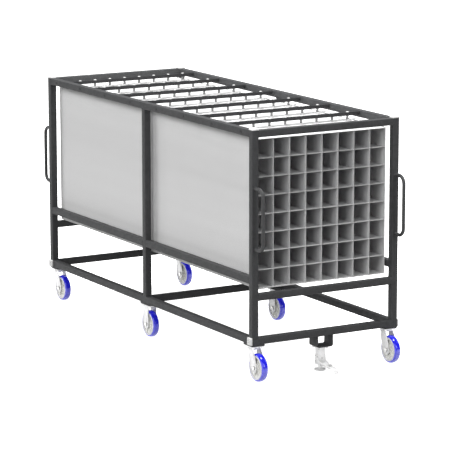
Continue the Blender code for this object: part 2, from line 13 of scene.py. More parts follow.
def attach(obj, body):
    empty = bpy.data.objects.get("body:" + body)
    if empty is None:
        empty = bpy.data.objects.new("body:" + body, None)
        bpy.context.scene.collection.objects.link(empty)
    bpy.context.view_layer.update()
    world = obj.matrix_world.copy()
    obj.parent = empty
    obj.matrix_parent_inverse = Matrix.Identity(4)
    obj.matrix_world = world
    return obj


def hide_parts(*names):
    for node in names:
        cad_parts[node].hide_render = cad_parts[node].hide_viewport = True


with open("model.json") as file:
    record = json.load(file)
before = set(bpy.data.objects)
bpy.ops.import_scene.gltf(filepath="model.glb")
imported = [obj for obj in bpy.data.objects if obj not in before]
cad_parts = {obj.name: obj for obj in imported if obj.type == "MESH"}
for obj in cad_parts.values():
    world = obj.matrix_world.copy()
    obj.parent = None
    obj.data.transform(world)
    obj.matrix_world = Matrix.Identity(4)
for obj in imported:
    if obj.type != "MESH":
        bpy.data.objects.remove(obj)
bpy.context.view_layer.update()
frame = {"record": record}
random.seed(7)

# ------------------------------------------------------------- dimensions
L, W, H = 2.420, 0.917, 1.159
TUBE, WALL = 0.0381, 0.0032
C = TUBE / 2
PAD_T, CASTER_H, GAP = 0.0095, 0.1905, 0.0003
RAIL_LOW, RAIL_TOP = PAD_T, PAD_T + TUBE
SIDE_MID, END_MID = 0.3747, 0.2848
HOLES, HOLE_FIRST, HOLE_PITCH, HOLE_R = 8, 0.1165, 0.3124, 0.0078
REACH, BAR_R, BEND, LEG_TOP, LEG_LOW = 0.0885, 0.0097, 0.0420, 0.308, 0.634
DX, DY, DTOP, DH = 0.048, 0.056, 1.1005, 0.8000
NY = NZ = 8
COL = (W - 2 * DY) / NY
HANG, HANG_FIRST, HANG_PITCH = 7, 0.2099, 0.3106
HBAR, HBAR_TOP = 0.0190, 0.0045
STUD_FIRST, STUD_PITCH = 0.1110, 0.09926
STRIP_TOP, STRIP_T, STRIP_X = 0.0430, 0.0070, 0.0300
WHEEL_R, WHEEL_HALF = 0.0762, 0.0210
FORK_IN, FORK_T = 0.0230, 0.0040
SWX, SWY, TRAIL = 0.0475, 0.0390, 0.0450
AXZ = -CASTER_H + WHEEL_R
LOCK_X, LOCK_Y, PEDAL_REACH = L - 0.058, W / 2, 0.1080
BR_NEAR, BR_FAR, BR_BACK, BR_FRONT, BR_LOW, BR_T = 0.0420, 0.0580, 0.102, 0.018, -0.0580, 0.0055
X0, Y0, Z0 = -L / 2 - (PEDAL_REACH - REACH) / 2, -W / 2, CASTER_H


def at(x, y, z):
    return Vector((x + X0, y + Y0, z + Z0))


# -------------------------------------------------------------- materials
def rgb(v):
    return (v[0], v[1], v[2], 1.0)


class Mat:
    """A small node-tree writer around one Principled BSDF."""

    def __init__(self, name, base, rough, metal=0.0, spec=0.5):
        self.m = bpy.data.materials.new(name)
        self.m.use_nodes = True
        self.t = self.m.node_tree
        self.b = self.t.nodes["Principled BSDF"]
        self.b.inputs["Base Color"].default_value = rgb(base)
        self.b.inputs["Roughness"].default_value = rough
        self.b.inputs["Metallic"].default_value = metal
        self.b.inputs["Specular IOR Level"].default_value = spec
        self.coord = self.node("ShaderNodeTexCoord")
        self.bumps = None

    def node(self, kind, **kw):
        n = self.t.nodes.new(kind)
        for k, v in kw.items():
            setattr(n, k, v)
        return n

    def link(self, a, b):
        self.t.links.new(a, b)

    def mapped(self, scale=(1, 1, 1), rot=(0, 0, 0), loc=(0, 0, 0)):
        n = self.node("ShaderNodeMapping")
        n.inputs["Scale"].default_value = scale
        n.inputs["Rotation"].default_value = rot
        n.inputs["Location"].default_value = loc
        self.link(self.coord.outputs["Object"], n.inputs["Vector"])
        return n.outputs["Vector"]

    def noise(self, scale, detail=3.0, rough=0.55, stretch=(1, 1, 1), loc=(0, 0, 0)):
        n = self.node("ShaderNodeTexNoise")
        n.inputs["Scale"].default_value = scale
        n.inputs["Detail"].default_value = detail
        n.inputs["Roughness"].default_value = rough
        self.link(self.mapped(stretch, loc=loc), n.inputs["Vector"])
        return n.outputs["Fac"]

    def wave(self, scale, axis='X', kind='BANDS', distort=0.0, stretch=(1, 1, 1)):
        n = self.node("ShaderNodeTexWave", wave_type=kind, bands_direction=axis)
        n.inputs["Scale"].default_value = scale
        n.inputs["Distortion"].default_value = distort
        n.inputs["Detail"].default_value = 1.0
        self.link(self.mapped(stretch), n.inputs["Vector"])
        return n.outputs["Fac"]

    def ramp(self, fac, stops):
        n = self.node("ShaderNodeValToRGB")
        e = n.color_ramp.elements
        while len(e) < len(stops):
            e.new(0.5)
        for el, (p, c) in zip(e, stops):
            el.position = p
            el.color = rgb(c) if not isinstance(c, (int, float)) else (c, c, c, 1.0)
        self.link(fac, n.inputs["Fac"])
        return n.outputs["Color"]

    def math(self, op, a, b=None, clamp=False):
        n = self.node("ShaderNodeMath", operation=op, use_clamp=clamp)
        for i, v in enumerate((a, b)):
            if v is None:
                continue
            if isinstance(v, (int, float)):
                n.inputs[i].default_value = v
            else:
                self.link(v, n.inputs[i])
        return n.outputs["Value"]

    def mix(self, fac, a, b, blend='MIX'):
        n = self.node("ShaderNodeMix", data_type='RGBA', blend_type=blend)
        if isinstance(fac, (int, float)):
            n.inputs["Factor"].default_value = fac
        else:
            self.link(fac, n.inputs["Factor"])
        for i, v in ((6, a), (7, b)):
            if isinstance(v, (tuple, list)):
                n.inputs[i].default_value = rgb(v)
            else:
                self.link(v, n.inputs[i])
        return n.outputs[2]

    def along(self, axis, lo, hi, stops):
        """A grey ramp along one axis of the piece, lo to hi in metres."""
        n = self.node("ShaderNodeSeparateXYZ")
        self.link(self.mapped(), n.inputs[0])
        return self.ramp(self.math('DIVIDE', self.math('SUBTRACT', n.outputs[axis], lo), hi - lo, clamp=True), stops)

    def colour(self, out):
        self.link(out, self.b.inputs["Base Color"])

    def rough(self, out):
        self.link(out, self.b.inputs["Roughness"])

    def bump(self, height, strength, distance):
        n = self.node("ShaderNodeBump")
        n.inputs["Strength"].default_value = strength
        n.inputs["Distance"].default_value = distance
        self.link(height, n.inputs["Height"])
        if self.bumps is not None:
            self.link(self.bumps, n.inputs["Normal"])
        self.bumps = n.outputs["Normal"]
        self.link(self.bumps, self.b.inputs["Normal"])

    def edges(self, radius=0.0025, lo=0.5, hi=0.62):
        """0 on flat ground, 1 along outer edges."""
        n = self.node("ShaderNodeNewGeometry")
        return self.ramp(n.outputs["Pointiness"], [(lo, 0.0), (hi, 1.0)])


def painted(name, base, worn, rough=0.40, spec=0.5, chips=0.35):
    """Powder coat: fine orange peel, faint mottling and dust, edges rubbed lighter."""
    m = Mat(name, base, rough, 0.0, spec)
    mottle = m.noise(38.0, 4.0)
    dust = m.noise(7.0, 3.0, 0.6, stretch=(1, 1, 0.35))
    c = m.mix(m.ramp(mottle, [(0.35, 0.0), (0.75, 1.0)]), [v * 0.88 for v in base], [v * 1.10 for v in base])
    c = m.mix(m.math('MULTIPLY', m.ramp(dust, [(0.50, 0.0), (0.85, 1.0)]), 0.22), c, [min(1.0, v * 1.7 + 0.01) for v in base])
    edge = m.math('MULTIPLY', m.edges(), m.ramp(m.noise(120.0, 3.0), [(0.42, 0.0), (0.62, 1.0)]))
    c = m.mix(m.math('MULTIPLY', edge, chips), c, worn)
    m.colour(c)
    m.rough(m.ramp(m.noise(60.0, 3.0), [(0.30, rough - 0.07), (0.75, rough + 0.10)]))
    m.bump(m.noise(900.0, 2.0), 0.16, 0.0006)
    m.bump(m.noise(9.0, 2.0, stretch=(1, 1, 1)), 0.05, 0.004)
    return m.m


def plastic(name, base, rough=0.45, grid=0.0, speck=0.0):
    """Moulded plastic: fine mould grain, a little handling dirt."""
    m = Mat(name, base, rough)
    dirt = m.noise(55.0, 5.0, 0.65)
    c = m.mix(m.math('MULTIPLY', m.ramp(dirt, [(0.48, 0.0), (0.78, 1.0)]), 0.35), base, [v * 0.72 for v in base])
    if speck:
        c = m.mix(m.math('MULTIPLY', m.ramp(m.noise(420.0, 2.0), [(0.60, 0.0), (0.68, 1.0)]), speck), c, [v * 0.45 for v in base])
    m.colour(c)
    m.rough(m.ramp(m.noise(90.0, 3.0), [(0.30, rough - 0.08), (0.75, rough + 0.10)]))
    m.bump(m.noise(1500.0, 2.0), 0.14, 0.0004)
    return m.m


def plated(name, base, rough=0.34, metal=0.55, stretch=(1, 1, 1), stain=0.30):
    """Bright zinc plate: fine spangle, brushed drag, dull patches and stained corners."""
    m = Mat(name, base, rough, metal)
    spangle = m.noise(240.0, 3.0, 0.7, stretch=stretch)
    patch = m.noise(24.0, 4.0, 0.6)
    c = m.mix(m.ramp(spangle, [(0.35, 0.0), (0.72, 1.0)]), [v * 0.90 for v in base], [min(1.0, v * 1.06) for v in base])
    c = m.mix(m.math('MULTIPLY', m.ramp(patch, [(0.50, 0.0), (0.80, 1.0)]), stain), c, [base[0] * 0.66, base[1] * 0.65, base[2] * 0.62])
    m.colour(c)
    m.rough(m.ramp(patch, [(0.30, rough - 0.08), (0.80, rough + 0.16)]))
    m.bump(m.noise(700.0, 3.0, stretch=stretch), 0.12, 0.0004)
    return m.m


def tread_mat(name, base, rough=0.22):
    """Cast polyurethane: glossy, slightly uneven, faint mould drag round the tread."""
    m = Mat(name, base, rough)
    cloud = m.noise(30.0, 3.0)
    c = m.mix(m.ramp(cloud, [(0.35, 0.0), (0.70, 1.0)]), [base[0] * 0.75, base[1] * 0.75, base[2] * 0.88], [base[0] * 1.2, base[1] * 1.2, min(1.0, base[2] * 1.08)])
    c = m.mix(m.math('MULTIPLY', m.ramp(m.noise(70.0, 5.0, 0.7), [(0.58, 0.0), (0.80, 1.0)]), 0.12), c, (0.14, 0.14, 0.30))
    m.colour(c)
    m.rough(m.ramp(m.noise(80.0, 4.0), [(0.35, rough - 0.06), (0.75, rough + 0.16)]))
    m.bump(m.noise(300.0, 3.0), 0.10, 0.0005)
    m.b.inputs["Coat Weight"].default_value = 0.62
    m.b.inputs["Coat Roughness"].default_value = 0.06
    m.b.inputs["Coat IOR"].default_value = 1.62
    # painted light: a faint blue glow, keeping the blue bright where the lamps reach little
    m.b.inputs["Emission Color"].default_value = rgb((0.02, 0.02, 1.0))
    m.b.inputs["Emission Strength"].default_value = 0.15
    return m.m


def rubbery(name, base, rough=0.62):
    m = Mat(name, base, rough)
    c = m.mix(m.math('MULTIPLY', m.ramp(m.noise(60.0, 5.0, 0.65), [(0.42, 0.0), (0.75, 1.0)]), 0.5), base, [v * 0.62 for v in base])
    m.colour(c)
    m.bump(m.noise(800.0, 2.0), 0.2, 0.0005)
    return m.m


def cloth(name, base, dark=0.86, rough=0.86, pitch=0.0022, plane='XZ', inner=False, painted_shade=()):
    """Coated woven textile: crossed yarns at the real pitch, slub variation, slight sheen."""
    m = Mat(name, base, rough, 0.0, 0.25)
    k = 1.0 / pitch / 2.0 / math.pi * 2.0
    a, b = {'XZ': ('X', 'Z'), 'YZ': ('Y', 'Z'), 'XY': ('X', 'Y')}[plane]
    s = 1.0 / pitch * 0.5
    wa = m.wave(s, a)
    wb = m.wave(s, b)
    weave = m.math('MULTIPLY', wa, wb)
    speck = m.noise(330.0, 2.0, 0.5)
    slub = m.noise(26.0, 4.0, 0.55, stretch=(1, 1, 2.2))
    c = m.mix(m.ramp(weave, [(0.02, 0.0), (0.55, 1.0)]), [v * dark for v in base], base)
    c = m.mix(m.math('MULTIPLY', m.ramp(speck, [(0.50, 0.0), (0.66, 1.0)]), 0.30 if not inner else 0.18), c, [v * 0.84 for v in base])
    c = m.mix(m.math('MULTIPLY', m.ramp(slub, [(0.45, 0.0), (0.80, 1.0)]), 0.12), c, [v * 0.88 for v in base])
    # painted shade: each ramp along one axis darkens the colour, standing for shadow
    for axis, lo, hi, stops in painted_shade:
        c = m.mix(1.0, c, m.along(axis, lo, hi, stops), blend='MULTIPLY')
    m.colour(c)
    m.rough(m.ramp(slub, [(0.30, rough - 0.05), (0.80, min(1.0, rough + 0.08))]))
    m.bump(weave, 0.30, 0.00035)
    m.bump(slub, 0.25, 0.0012)
    m.b.inputs["Sheen Weight"].default_value = 0.15
    m.b.inputs["Sheen Roughness"].default_value = 0.5
    return m.m


def webbing(name, base, pitch=0.0016, plane='XZ'):
    """Folded binding tape: ribbed weave, soiled where hands touch."""
    m = Mat(name, base, 0.82, 0.0, 0.25)
    a, b = {'XZ': ('X', 'Z'), 'YZ': ('Y', 'Z'), 'XY': ('X', 'Y')}[plane]
    rib = m.wave(1.0 / pitch * 0.5, b)
    cross = m.wave(1.0 / pitch * 0.33, a)
    c = m.mix(m.ramp(rib, [(0.05, 0.0), (0.6, 1.0)]), [v * 0.84 for v in base], base)
    c = m.mix(m.math('MULTIPLY', m.ramp(m.noise(40.0, 5.0, 0.6), [(0.45, 0.0), (0.80, 1.0)]), 0.30), c, [v * 0.80 for v in base])
    m.colour(c)
    m.bump(rib, 0.35, 0.0004)
    m.bump(cross, 0.2, 0.0003)
    return m.m


CHARCOAL = painted("charcoal_powder_coat", (0.074, 0.075, 0.077), (0.15, 0.15, 0.155), rough=0.52, spec=0.06, chips=0.25)
GRIP = painted("handle_powder_coat", (0.068, 0.069, 0.071), (0.18, 0.18, 0.18), rough=0.42, spec=0.14, chips=0.3)
DARK = painted("hanger_bar_paint", (0.036, 0.036, 0.038), (0.10, 0.10, 0.10), rough=0.50, spec=0.10, chips=0.2)
# painted shade: near-black paint, used only for the discs in the rail holes
HOLE_SHADE = painted("tube_inside_painted_shade", (0.020, 0.020, 0.021), (0.03, 0.03, 0.03), rough=0.7)
CAP = plastic("cap_plastic", (0.94, 0.94, 0.93), 0.42)
# painted shade: mid-grey plastic for the grooves between the cap pads
CAP_GROOVE_SHADE = plastic("cap_plastic_groove_shade", (0.42, 0.42, 0.42), 0.50)
ZINC = plated("zinc_plate", (0.95, 0.95, 0.96), metal=0.16, stain=0.18)
# painted shade: a darker copy of the zinc for the fork legs' faces turned towards the wheel
ZINC_SHADED = plated("zinc_plate_inner_face_painted_shade", (0.46, 0.46, 0.47), metal=0.16, stain=0.18)
ZINC_DARK = plated("zinc_plate_dull", (0.50, 0.50, 0.50), rough=0.42)
BOLT = plated("bolt_zinc", (0.80, 0.80, 0.78), rough=0.30, metal=0.7)
LOCKZ = plated("lock_zinc_plate", (0.95, 0.95, 0.95), rough=0.38, metal=0.18, stain=0.16)
TREAD = tread_mat("blue_polyurethane", (0.006, 0.008, 0.74))
HUB = plastic("wheel_core_plastic", (0.95, 0.95, 0.92), 0.42)
RING = plastic("wheel_ring_plastic", (0.95, 0.95, 0.98), 0.30)
FOOT = rubbery("foot_rubber_pad", (0.92, 0.92, 0.92))
SEAL = rubbery("dark_rubber", (0.035, 0.035, 0.036), 0.55)
# painted shade: the side sheets are darkened next to the top and middle rails and beside the middle post, standing for
# the frame's soft shadows
RAIL_PAINTED_SHADE = (2, 0.40, 1.11, [(0.014, 0.84), (0.056, 0.92), (0.14, 0.97), (0.25, 1.0), (0.86, 1.0), (0.905, 0.97), (0.940, 0.88), (0.965, 0.75), (0.986, 0.56)])
POST_PAINTED_SHADOW = (0, 1.19, 1.45, [(0.0, 1.0), (0.20, 0.93), (0.45, 0.94), (0.80, 1.0)])
OUTER = cloth("textile_side", (0.95, 0.95, 0.95), plane='XZ', painted_shade=(RAIL_PAINTED_SHADE, POST_PAINTED_SHADOW))
OUTER_TOP = cloth("textile_top", (0.93, 0.93, 0.93), plane='XY')
# painted shade: the inside sheets are the side textile made darker, the level ones darkest, standing for the shade
# inside the cells
SHADED_INNER_V = cloth("textile_inside_upright_painted_shade", (0.69, 0.69, 0.70), plane='XZ', inner=True)
SHADED_INNER_H = cloth("textile_inside_level_painted_shade", (0.54, 0.54, 0.55), plane='XY', inner=True)
TAPE_V_LOOK = webbing("binding_tape_upright", (0.76, 0.76, 0.76), plane='YZ')
TAPE_H_LOOK = webbing("binding_tape_level", (0.76, 0.76, 0.76), plane='XY')
THREAD = webbing("sewing_thread", (0.80, 0.80, 0.79), pitch=0.0009)


# ---------------------------------------------------------------- helpers
SHOWN = bpy.data.collections.new("parts_cart_looks")
bpy.context.scene.collection.children.link(SHOWN)
ROWS = {s["node"]: s["material_slot"] for s in frame["record"].get("subparts", [])}
MADE = []


def piece(name, me, mat, body="cart", place=None, smooth=35, mats=None):
    """A shown object riding on a CAD body, its place in its matrix."""
    ob = bpy.data.objects.new(name, me)
    SHOWN.objects.link(ob)
    if not me.materials:
        for m in (mats or [mat]):
            me.materials.append(m)
    if smooth and len(me.polygons):
        me.shade_smooth()
        me.set_sharp_from_angle(angle=math.radians(smooth))
    if place is not None:
        ob.matrix_world = place if isinstance(place, Matrix) else Matrix.Translation(place)
    bpy.context.view_layer.update()
    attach(ob, body)
    MADE.append(ob)
    return ob


def mesh(name, verts, faces, fi=None):
    me = bpy.data.meshes.new(name)
    me.from_pydata([tuple(v) for v in verts], [], faces)
    bm = bmesh.new()
    bm.from_mesh(me)
    bmesh.ops.recalc_face_normals(bm, faces=bm.faces)
    bm.to_mesh(me)
    bm.free()
    return me


def from_bm(name, bm):
    bmesh.ops.recalc_face_normals(bm, faces=bm.faces)
    me = bpy.data.meshes.new(name)
    bm.to_mesh(me)
    bm.free()
    return me


def evaluated(ob, name):
    bpy.context.view_layer.update()
    dg = bpy.context.evaluated_depsgraph_get()
    me = bpy.data.meshes.new_from_object(ob.evaluated_get(dg))
    me.name = name
    return me


def merge(name, parts):
    """One mesh out of several (mesh, matrix) parts, keeping material numbers."""
    bm = bmesh.new()
    for me, mx in parts:
        tmp = me.copy()
        if mx is not None:
            tmp.transform(mx if isinstance(mx, Matrix) else Matrix.Translation(mx))
        bm.from_mesh(tmp)
        bpy.data.meshes.remove(tmp)
    out = bpy.data.meshes.new(name)
    bm.to_mesh(out)
    bm.free()
    return out


def round_rect(a, b, r, n=4):
    """Rounded rectangle outline, half sizes a and b, corner radius r."""
    pts = []
    for cx, cy, s in ((a - r, b - r, 0), (-a + r, b - r, 1), (-a + r, -b + r, 2), (a - r, -b + r, 3)):
        for i in range(n + 1):
            t = math.pi / 2 * (s + i / n)
            pts.append((cx + r * math.cos(t), cy + r * math.sin(t)))
    return pts


def axis_point(axis, u, v, w):
    """u, v across and w along the axis."""
    return {'X': (w, u, v), 'Y': (u, w, v), 'Z': (u, v, w)}[axis]


def extrude(outline, axis, w0, w1, cap=True, stations=None):
    """Prism on an outline, as verts and faces."""
    ws = stations or [w0, w1]
    n = len(outline)
    verts = [axis_point(axis, u, v, w) for w in ws for u, v in outline]
    faces = []
    for k in range(len(ws) - 1):
        for i in range(n):
            j = (i + 1) % n
            faces.append((k * n + i, k * n + j, (k + 1) * n + j, (k + 1) * n + i))
    if cap:
        faces.append(tuple(range(n)))
        faces.append(tuple((len(ws) - 1) * n + i for i in range(n)))
    return verts, faces


def solid_prism(name, outline, axis, w0, w1):
    return mesh(name, *extrude(outline, axis, w0, w1))


def tube_mesh(name, axis, cu, cv, w0, w1, half=C, wall=WALL, r=0.0032, stations=None):
    """Square tube with rounded corners, hollow and open at both ends."""
    outer = [(cu + u, cv + v) for u, v in round_rect(half, half, r, 4)]
    inner = [(cu + u, cv + v) for u, v in round_rect(half - wall, half - wall, 0.0012, 4)]
    n = len(outer)
    ws = stations or [w0 + (w1 - w0) * i / max(1, round((w1 - w0) / 0.30)) for i in range(max(1, round((w1 - w0) / 0.30)) + 1)]
    # rounded mouth: the end rings step in by a quarter millimetre
    verts, faces = [], []
    rings = []
    e = 0.0004
    for k, w in enumerate(ws):
        rings.append((outer, w))
    seq = []
    seq.append(([(cu + u, cv + v) for u, v in round_rect(half - e, half - e, r, 4)], w0))
    seq.append((outer, w0 + e))
    for w in ws[1:-1]:
        seq.append((outer, w))
    seq.append((outer, w1 - e))
    seq.append(([(cu + u, cv + v) for u, v in round_rect(half - e, half - e, r, 4)], w1))
    seq.append((inner, w1))
    seq.append((inner, w0))
    for line, w in seq:
        verts += [axis_point(axis, u, v, w) for u, v in line]
    m = len(seq)
    for k in range(m):
        a, b = k * n, ((k + 1) % m) * n
        for i in range(n):
            j = (i + 1) % n
            faces.append((a + i, a + j, b + j, b + i))
    me = mesh(name, verts, faces)
    return me


def lathe(name, profile, steps=48, axis='Z', closed=True):
    """Turned shape: profile is (radius, height) round the axis."""
    verts, faces = [], []
    n = len(profile)
    for k in range(steps):
        t = math.tau * k / steps
        c, s = math.cos(t), math.sin(t)
        for r, h in profile:
            verts.append(axis_point(axis, r * c, r * s, h))
    for k in range(steps):
        a, b = k * n, ((k + 1) % steps) * n
        for i in range(n if closed else n - 1):
            j = (i + 1) % n
            faces.append((a + i, a + j, b + j, b + i))
    me = mesh(name, verts, faces)
    bm = bmesh.new()
    bm.from_mesh(me)
    bmesh.ops.remove_doubles(bm, verts=bm.verts, dist=0.00002)
    bmesh.ops.dissolve_degenerate(bm, edges=bm.edges, dist=0.00001)
    return from_bm(name, bm)


def turned(name, pts, steps=48, axis='Z'):
    """Solid turned shape from its outside profile, closed on the axis."""
    return lathe(name, [(0.0, pts[0][1])] + list(pts) + [(0.0, pts[-1][1])], steps, axis)


def sweep(name, path, radius, sides=12, cyclic=False, squash=None, caps=True):
    """Round bar along a path; radius may be a function of the station."""
    pts = [Vector(p) for p in path]
    n = len(pts)
    verts, faces = [], []
    up = None
    for i, p in enumerate(pts):
        a = pts[(i - 1) % n] if (cyclic or i) else pts[i]
        b = pts[(i + 1) % n] if (cyclic or i < n - 1) else pts[i]
        d = (b - a).normalized()
        if up is None:
            up = d.orthogonal().normalized()
        up = (up - d * up.dot(d)).normalized()
        side = d.cross(up)
        r = radius(i) if callable(radius) else radius
        for k in range(sides):
            t = math.tau * k / sides
            q = up * math.cos(t) * r + side * math.sin(t) * r
            if squash:
                q = Vector(tuple(c * s for c, s in zip(q, squash)))
            verts.append(p + q)
    m = n if cyclic else n - 1
    for i in range(m):
        a, b = i * sides, ((i + 1) % n) * sides
        for k in range(sides):
            j = (k + 1) % sides
            faces.append((a + k, a + j, b + j, b + k))
    if not cyclic and caps:
        faces.append(tuple(range(sides)))
        faces.append(tuple((n - 1) * sides + k for k in range(sides)))
    return mesh(name, verts, faces)


def bead(name, corners, r=0.0017, seed=0, closed=True):
    """Weld bead: a rippled cord along straight runs between corners."""
    path = []
    rnd = random.Random(seed)
    cs = [Vector(c) for c in corners]
    runs = list(zip(cs, cs[1:] + cs[:1])) if closed else list(zip(cs, cs[1:]))
    for a, b in runs:
        k = max(2, int((b - a).length / 0.0022))
        path += [a.lerp(b, i / k) for i in range(k)]
    if not closed:
        path.append(cs[-1])
    jig = [0.84 + 0.26 * abs(math.sin(i * 1.25)) + rnd.uniform(-0.07, 0.07) for i in range(len(path))]
    return sweep(name, path, lambda i: r * jig[i], 6, cyclic=closed)


def square_loop(axis, cu, cv, w, half=C - 0.0008):
    return [axis_point(axis, cu + a * half, cv + b * half, w) for a, b in ((1, 1), (-1, 1), (-1, -1), (1, -1))]


def bevelled(name, bm_or_me, width, segments=2, angle=40):
    """The shape with its hard edges rounded, as a plain mesh."""
    ob = bpy.data.objects.new(name + "_raw", bm_or_me)
    bpy.context.scene.collection.objects.link(ob)
    m = ob.modifiers.new("edge", 'BEVEL')
    m.width = width
    m.segments = segments
    m.limit_method = 'ANGLE'
    m.angle_limit = math.radians(angle)
    m.harden_normals = False
    me = evaluated(ob, name)
    bpy.data.objects.remove(ob, do_unlink=True)
    return me


def block(name, lo, hi, width=0.0010, segments=2):
    """Rounded-edge block between two corners."""
    bm = bmesh.new()
    bmesh.ops.create_cube(bm, size=1.0)
    size = [h - l for l, h in zip(lo, hi)]
    bmesh.ops.scale(bm, vec=size, verts=bm.verts)
    bmesh.ops.translate(bm, vec=[(l + h) / 2 for l, h in zip(lo, hi)], verts=bm.verts)
    me = from_bm(name + "_raw", bm)
    return bevelled(name, me, width, segments)


def hexagon(name, across, z0, z1, axis='Z', turn=0.0, washer=None):
    """Hex bolt head or nut with chamfered corners and an optional flange."""
    r = across / math.sqrt(3)
    ch = across * 0.09
    verts, faces = [], []
    lines = [(r * 0.90, z0), (r, z0 + ch * 0.5), (r, z1 - ch), (r * 0.88, z1)]
    for rr, z in lines:
        for k in range(6):
            t = math.tau * k / 6 + turn
            verts.append(axis_point(axis, rr * math.cos(t), rr * math.sin(t), z))
    for a in range(3):
        for k in range(6):
            j = (k + 1) % 6
            faces.append((a * 6 + k, a * 6 + j, a * 6 + 6 + j, a * 6 + 6 + k))
    faces.append(tuple(range(6)))
    faces.append(tuple(18 + k for k in range(6)))
    me = mesh(name, verts, faces)
    if washer:
        rad, th = washer
        w = turned(name + "_washer", [(rad - 0.0003, z0 - th), (rad, z0 - th + 0.0004), (rad, z0 - 0.0004), (rad - 0.0004, z0)], 28, axis)
        me = merge(name, [(me, None), (w, None)])
    return me


def boolean(name, me, cutters, op='DIFFERENCE'):
    """me with the cutters taken away (or joined), as a plain mesh."""
    ob = bpy.data.objects.new(name + "_raw", me)
    bpy.context.scene.collection.objects.link(ob)
    extra = []
    for i, cme in enumerate(cutters):
        co = bpy.data.objects.new("%s_cut_%d" % (name, i), cme)
        bpy.context.scene.collection.objects.link(co)
        m = ob.modifiers.new("cut_%d" % i, 'BOOLEAN')
        m.operation = op
        m.solver = 'EXACT'
        m.object = co
        extra.append(co)
    out = evaluated(ob, name)
    for o in extra + [ob]:
        bpy.data.objects.remove(o, do_unlink=True)
    return out


def hides(ob, *nodes):
    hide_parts(*nodes)
    return ob


# ------------------------------------------------------------ welded frame
def tube(name, axis, cu, cv, w0, w1, stations=None):
    me = tube_mesh(name, axis, cu, cv, w0, w1, stations=stations)
    return me


BEADS = []


def weld(axis, cu, cv, w, seed):
    BEADS.append((bead("bead", square_loop(axis, cu, cv, w), 0.0016, seed), None))


# bottom rails, in datum measures; each piece gets one matrix to the frame
D = Matrix.Translation(at(0, 0, 0))
base_nodes = []
for tag, x in (("left", C), ("right", L - C)):
    base_nodes.append(piece("base_end_rail_" + tag, tube("base_end_rail", 'Y', x, RAIL_LOW + C, 0.0, W), CHARCOAL, place=D))
for tag, y in (("near", C), ("far", W - C)):
    me = tube("base_side_rail", 'X', y, RAIL_LOW + C, TUBE, L - TUBE)
    base_nodes.append(piece("base_side_rail_" + tag, me, CHARCOAL, place=D))
    for w, s in ((TUBE, 11), (L - TUBE, 12)):
        weld('X', y, RAIL_LOW + C, w, s)
base_nodes.append(piece("base_cross_rail", tube("base_cross_rail", 'Y', L / 2, RAIL_LOW + C, TUBE, W - TUBE), CHARCOAL, place=D))
for w in (TUBE, W - TUBE):
    weld('Y', L / 2, RAIL_LOW + C, w, 21)
for ty, y0 in (("near", 0.0), ("far", W - 0.078)):
    for tx, x0, ln in (("left", 0.0, 0.095), ("middle", L / 2 - 0.0505, 0.101), ("right", L - 0.095, 0.095)):
        me = block("caster_pad", (x0, y0, 0.0), (x0 + ln, y0 + 0.078, PAD_T), 0.0012, 2)
        base_nodes.append(piece("caster_pad_%s_%s" % (ty, tx), me, CHARCOAL, place=D))
        BEADS.append((bead("bead", [(x0 + ln, y0 + (0.0 if ty == "near" else 0.078 - TUBE), PAD_T), (x0 + ln, y0 + (TUBE if ty == "near" else 0.078), PAD_T)], 0.0016, 3, closed=False), None))
hides(base_nodes[0], "base_frame")


def holed_rail(name, y, z, side):
    me = tube(name, 'X', y, z, TUBE, L - TUBE, stations=None)
    cuts = []
    for i in range(HOLES):
        x = HOLE_FIRST + HOLE_PITCH * i
        if side > 0:
            x = L - x
        yy = y + side * C
        c = turned("hole", [(HOLE_R, yy - 0.012), (HOLE_R, yy + 0.012)], 32, 'Y')
        c.transform(Matrix.Translation((x, 0, z)))
        cuts.append(c)
    out = boolean(name, me, cuts)
    out.materials.clear()
    rims = []
    for i in range(HOLES):
        x = HOLE_FIRST + HOLE_PITCH * i
        if side > 0:
            x = L - x
        yy = y + side * (C - 0.0002)
        path = [(x + (HOLE_R + 0.0005) * math.cos(t * math.tau / 28), yy, z + (HOLE_R + 0.0005) * math.sin(t * math.tau / 28)) for t in range(28)]
        rims.append((sweep("rim", path, 0.0007, 6, cyclic=True), None))
    return merge(name, [(out, None)] + rims)


def hole_shade_discs(y, z, side):
    """Near-black discs sunk a little into the rail's holes: painted shade for the dark inside of the tube."""
    parts = []
    for i in range(HOLES):
        x = HOLE_FIRST + HOLE_PITCH * i
        if side > 0:
            x = L - x
        yy = y + side * C
        prof = [(HOLE_R - 0.0008, -side * 0.0042), (HOLE_R - 0.0003, -side * 0.0034), (HOLE_R - 0.0003, -side * 0.0016), (HOLE_R - 0.0012, -side * 0.0011),
                (HOLE_R * 0.5, -side * 0.0013)]
        m = turned("plug", [(r, yy + h) for r, h in prof], 32, 'Y')
        parts.append((m, Matrix.Translation((x, 0, z))))
    return merge("rail_hole_shade_discs", parts)


